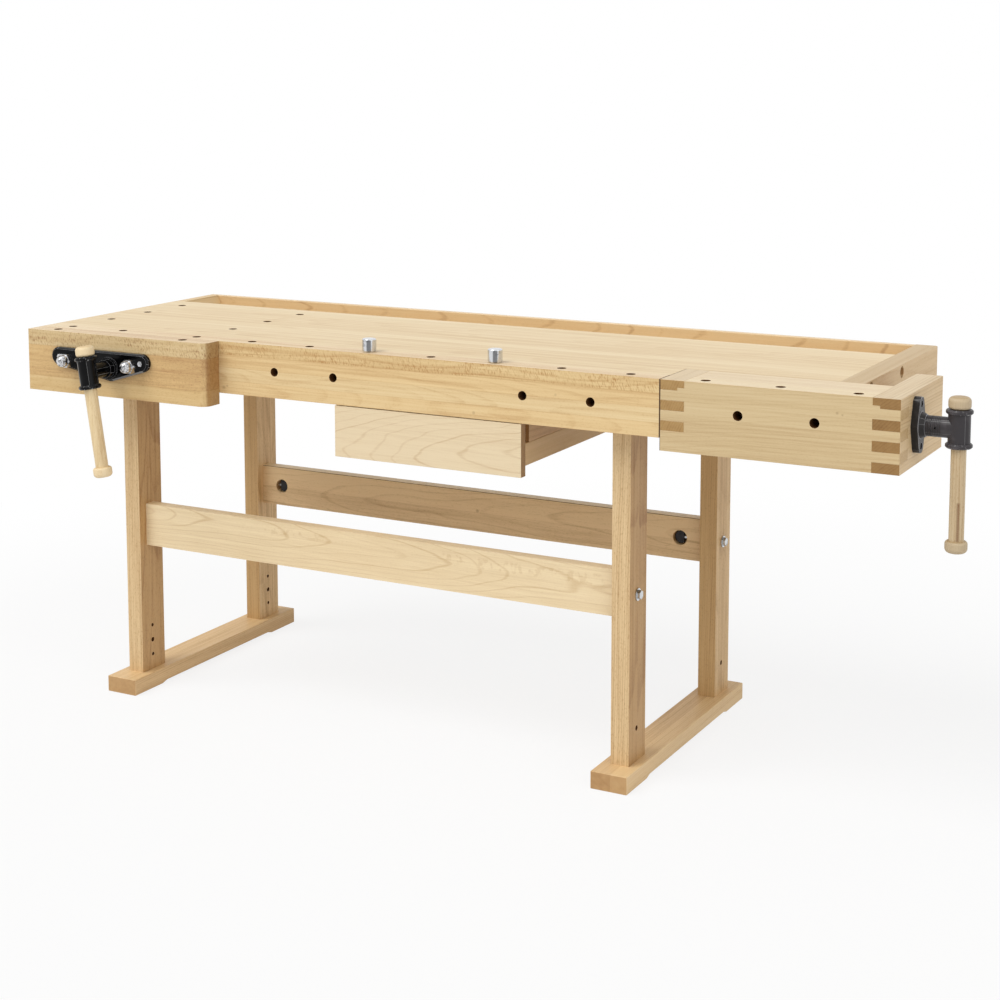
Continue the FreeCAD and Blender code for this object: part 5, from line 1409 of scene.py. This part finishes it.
@dataclass
class TailVise:
    """The sliding box at the right end with its screw and handle."""

    # Darker than the apron: painted shade where the light falls off towards the tail end.
    board: Wood = Wood(
        "tail board beech", (222, 202, 162), (205, 181, 138), (170, 136, 92), Axis.X, Axis.Z,
        stave=0.07, start=0.64, tone=0.08, figure=0.13, ring=0.0030, thin=0.55, pith=(0, 0, -0.45),
        stray=0.2, bow=0.02, wave=0.4, streak=0.52, fine=220, drift=0.2, fleck=0.06, end=(246, 236, 224),
        seed=61,
        knots=(knot(1895, 0, 815, 0.004, 0.3), knot(1905, 0, 812, 0.003, 0.3)),
        faces=((Axis.Z, (226, 206, 170)),), seams=(JAW_GAP_SHADOW,),
    )
    block: Wood = Wood(
        "tail block beech", (230, 206, 164), (216, 187, 143), (182, 148, 102), Axis.Y, Axis.Z,
        stave=0.045, start=0.70, tone=0.15, figure=0.30, streak=0.7, drift=0.3, pith=(0, -0.3, 1.2),
        stray=0.06, end=(176, 156, 122), seed=64, fleck=0.06, faces=((Axis.Z, (213, 191, 156)),),
        seams=(JAW_GAP_SHADOW,),
    )
    left_block: Wood = replace(block, name="tail left block beech", end=(200, 184, 152))
    top: Wood = Wood(
        "tail top beech", (236, 218, 184), (222, 201, 167), (196, 164, 120), Axis.X, Axis.Y,
        stave=0.043, start=-0.2519, tone=0.12, figure=0.10, ring=0.0035, pith=(0, 0, 0.6), stray=0.1,
        streak=0.75, fine=110, drift=0.25, seed=67, seams=(JAW_GAP_SHADOW,),
    )
    streak: Tuple[Knot, ...] = tuple(knot(2101.5, 79.6, z, 0.0048, 0.55) for z in range(582, 652, 4))
    screw_start: Triple = (2077.65, 92.5, 789)
    hub_middle: Triple = (2096, 92.5, 789)
    screw_plain: float = 0.12665
    screw_length: float = 0.43665

    def build(self, metal: Hardware, handle: Handle) -> None:
        """Builds the pieces.

        Args:
            metal: Finishes of the metal parts.
            handle: The handle's finishes.
        """
        eased("tail_front_board", self.board, 0.0008, TAIL_BORES)
        eased("tail_end_block", self.block, 0.0008)
        eased("tail_left_block", self.left_block, 0.0008)
        eased("tail_top_plate", self.top, 0.0008)
        rest("tail_guide_board", self.top)
        eased("tail_flange", metal.satin, 0.0007, rim=metal.grey_rim)
        eased("tail_vise_hub", metal.grey, 0.0010, rim=metal.grey_rim)
        eased("tail_flange_bolts", metal.satin, 0.0003)
        rest("tail_screw_collar", metal.oiled)
        rest("tail_vise_nut", metal.satin)
        start, inwards = spot(*self.screw_start), Vector((-1, 0, 0))
        Thread("tail_vise_screw", start, inwards, self.screw_plain, self.screw_length).build(metal.oiled)
        # Darker copies of the front handle and knobs: painted shade where the light falls off towards the
        # tail end.
        rod = replace(
            handle.rod, name="tail handle beech", light=(222, 206, 174), body=(212, 192, 156),
            dark=(166, 134, 94), streak=0.6, seed=46, knots=self.streak,
        )
        knob = replace(
            handle.knob, name="tail knob beech", light=(204, 186, 154), body=(188, 168, 136),
            dark=(158, 134, 102),
        )
        replace(handle, rod=rod, knob=knob).build("tail", spot(*self.hub_middle), Vector((0, 0, 1)))


@dataclass
class Drawer:
    """The drawer and its fixed runners."""

    front: Wood = Wood(
        "drawer front beech", (236, 218, 186), (225, 205, 170), (184, 148, 104), Axis.X, Axis.Z,
        figure=0.20, ring=0.0110, thin=0.80, pith=(-0.04, 0.650, -0.185), lean=(0.13, -0.13), bow=0.04,
        wave=1.5, streak=0.24, drift=0.15, fleck=0.03, seed=71, end=(168, 142, 108),
    )
    side: Wood = Wood(
        "drawer side beech", (210, 178, 132), (192, 160, 114), (154, 120, 80), Axis.Y, Axis.Z,
        figure=0.2, pith=(0, 0.66, 0.3), streak=0.5, seed=74,
    )
    runner: Wood = Wood(
        "runner beech", (214, 180, 138), (196, 160, 116), (160, 124, 84), Axis.Y, Axis.Z,
        figure=0.2, pith=(0, 0.66, 0.3), streak=0.5, seed=77,
    )

    def build(self, metal: Hardware) -> None:
        """Builds the pieces.

        Args:
            metal: Finishes of the screws.
        """
        eased("drawer_front", self.front, 0.0008)
        eased("drawer_side_left", self.side, 0.0008)
        eased("drawer_side_right", self.side, 0.0008)
        eased("drawer_back", self.side, 0.0008)
        rest("drawer_bottom", self.front)
        rest("drawer_runners", self.runner)
        rest("runner_screws", metal.zinc)


@dataclass
class BenchDogs:
    """The two turned steel dogs."""

    nodes: Tuple[str, str] = ("bench_dog_left", "bench_dog_right")

    def build(self, metal: Hardware) -> None:
        """Builds both dogs.

        Args:
            metal: Finishes of the metal parts.
        """
        for node in self.nodes:
            eased(node, metal.dog, 0.0005)


@dataclass(frozen=True)
class Lamp:
    """A wide soft lamp: where it shines from, its strength and its width in degrees."""

    name: str
    side: Triple
    power: float
    softness: float

    def build(self) -> None:
        """Adds the lamp."""
        light = bpy.data.lights.new(self.name, "SUN")
        light.energy = self.power
        light.angle = math.radians(self.softness)
        thing = bpy.data.objects.new(self.name, light)
        thing.rotation_euler = Vector(self.side).to_track_quat("Z", "Y").to_euler()
        bpy.context.scene.collection.objects.link(thing)


@dataclass
class Studio:
    """Floor, background, lamps and camera."""

    eye: Triple = (1.8806, -3.5693, 1.4697)
    yaw: float = 28.97
    pitch: float = 6.80
    roll: float = -0.17
    lens: float = 67.90
    sensor: float = 36.0
    shift: Span = (0.04, -0.22)
    ambient: float = 0.52
    floor_size: float = 30.0
    floor_fade: Span = (1.3, 2.6)
    floor_white: float = 0.82
    lamps: Tuple[Lamp, ...] = (
        Lamp("key lamp", (-0.45, -0.62, 0.95), 1.75, 40),
        Lamp("fill lamp", (0.75, -0.45, 0.45), 0.75, 60),
    )

    def build(self) -> None:
        """Builds everything round the bench."""
        self._floor()
        self._world()
        for lamp in self.lamps:
            lamp.build()
        self._camera()
        bpy.context.scene.view_settings.view_transform = "Standard"

    @staticmethod
    def _background(board: Board) -> Signal:
        """Picks the rays that should see the background's own white.

        Args:
            board: The board of nodes.

        Returns:
            1 for such a ray and 0 for others.
        """
        rays = board.node("ShaderNodeLightPath").outputs
        seen = Signal(board, rays["Is Camera Ray"])
        for kind in ("Is Glossy Ray", "Is Transmission Ray"):
            seen = board.maths("MAXIMUM", seen, Signal(board, rays[kind]))
        return seen

    def _floor(self) -> None:
        """Adds a wide pale floor that keeps a soft shadow."""
        shape = bmesh.new()
        bmesh.ops.create_grid(shape, x_segments=1, y_segments=1, size=self.floor_size)
        mesh = bpy.data.meshes.new("floor")
        shape.to_mesh(mesh)
        shape.free()
        floor = bpy.data.objects.new("floor", mesh)
        bpy.context.scene.collection.objects.link(floor)
        board = Board("pale floor")
        seen = self._background(board)
        matt = board.signal("ShaderNodeBsdfDiffuse", inputs={"Color": (0.8, 0.8, 0.8, 1)})
        white = board.signal("ShaderNodeEmission", inputs={"Color": (1, 1, 1, 1), "Strength": 1.0})
        x, y, _ = board.place()
        away = board.maths("SQRT", x * x + y * y).between(*self.floor_fade)
        share = seen * (away * (1 - self.floor_white) + self.floor_white)
        both = board.signal("ShaderNodeMixShader", inputs={0: share, 1: matt, 2: white})
        board.node("ShaderNodeOutputMaterial", inputs={"Surface": both})
        mesh.materials.append(board.material)

    def _world(self) -> None:
        """Adds a plain white surround."""
        world = bpy.data.worlds.new("white surround")
        bpy.context.scene.world = world
        board = Board(world.name, world)
        seen = self._background(board)
        strength = seen * (1 - self.ambient) + self.ambient
        light = board.signal("ShaderNodeBackground", inputs={"Color": (1, 1, 1, 1), "Strength": strength})
        board.node("ShaderNodeOutputWorld", inputs={"Surface": light})

    def _camera(self) -> None:
        """Adds the camera."""
        yaw, pitch, roll = (math.radians(a) for a in (self.yaw, self.pitch, self.roll))
        ahead = Vector((-math.sin(yaw) * math.cos(pitch), math.cos(yaw) * math.cos(pitch), -math.sin(pitch)))
        level = Vector((math.cos(yaw), math.sin(yaw), 0.0))
        above = level.cross(ahead)
        right = level * math.cos(roll) + above * math.sin(roll)
        up = above * math.cos(roll) - level * math.sin(roll)
        lens = bpy.data.cameras.new("camera")
        lens.sensor_width = self.sensor
        lens.lens = self.lens
        lens.shift_x, lens.shift_y = self.shift
        camera = bpy.data.objects.new("camera", lens)
        turn = Matrix((right, up, -ahead)).transposed().to_4x4()
        camera.matrix_world = Matrix.Translation(Vector(self.eye)) @ turn
        bpy.context.scene.collection.objects.link(camera)
        bpy.context.scene.camera = camera


def main() -> None:
    """Builds the bench, one sub-assembly after the other."""
    logging.basicConfig(level=logging.INFO, format="%(name)s: %(message)s")
    metal = Hardware()
    handle = Handle()
    Worktop().build(metal)
    Base().build(metal)
    FrontVise().build(metal, handle)
    TailVise().build(metal, handle)
    Drawer().build(metal)
    BenchDogs().build(metal)
    Studio().build()


if __name__ == "__main__":
    main()
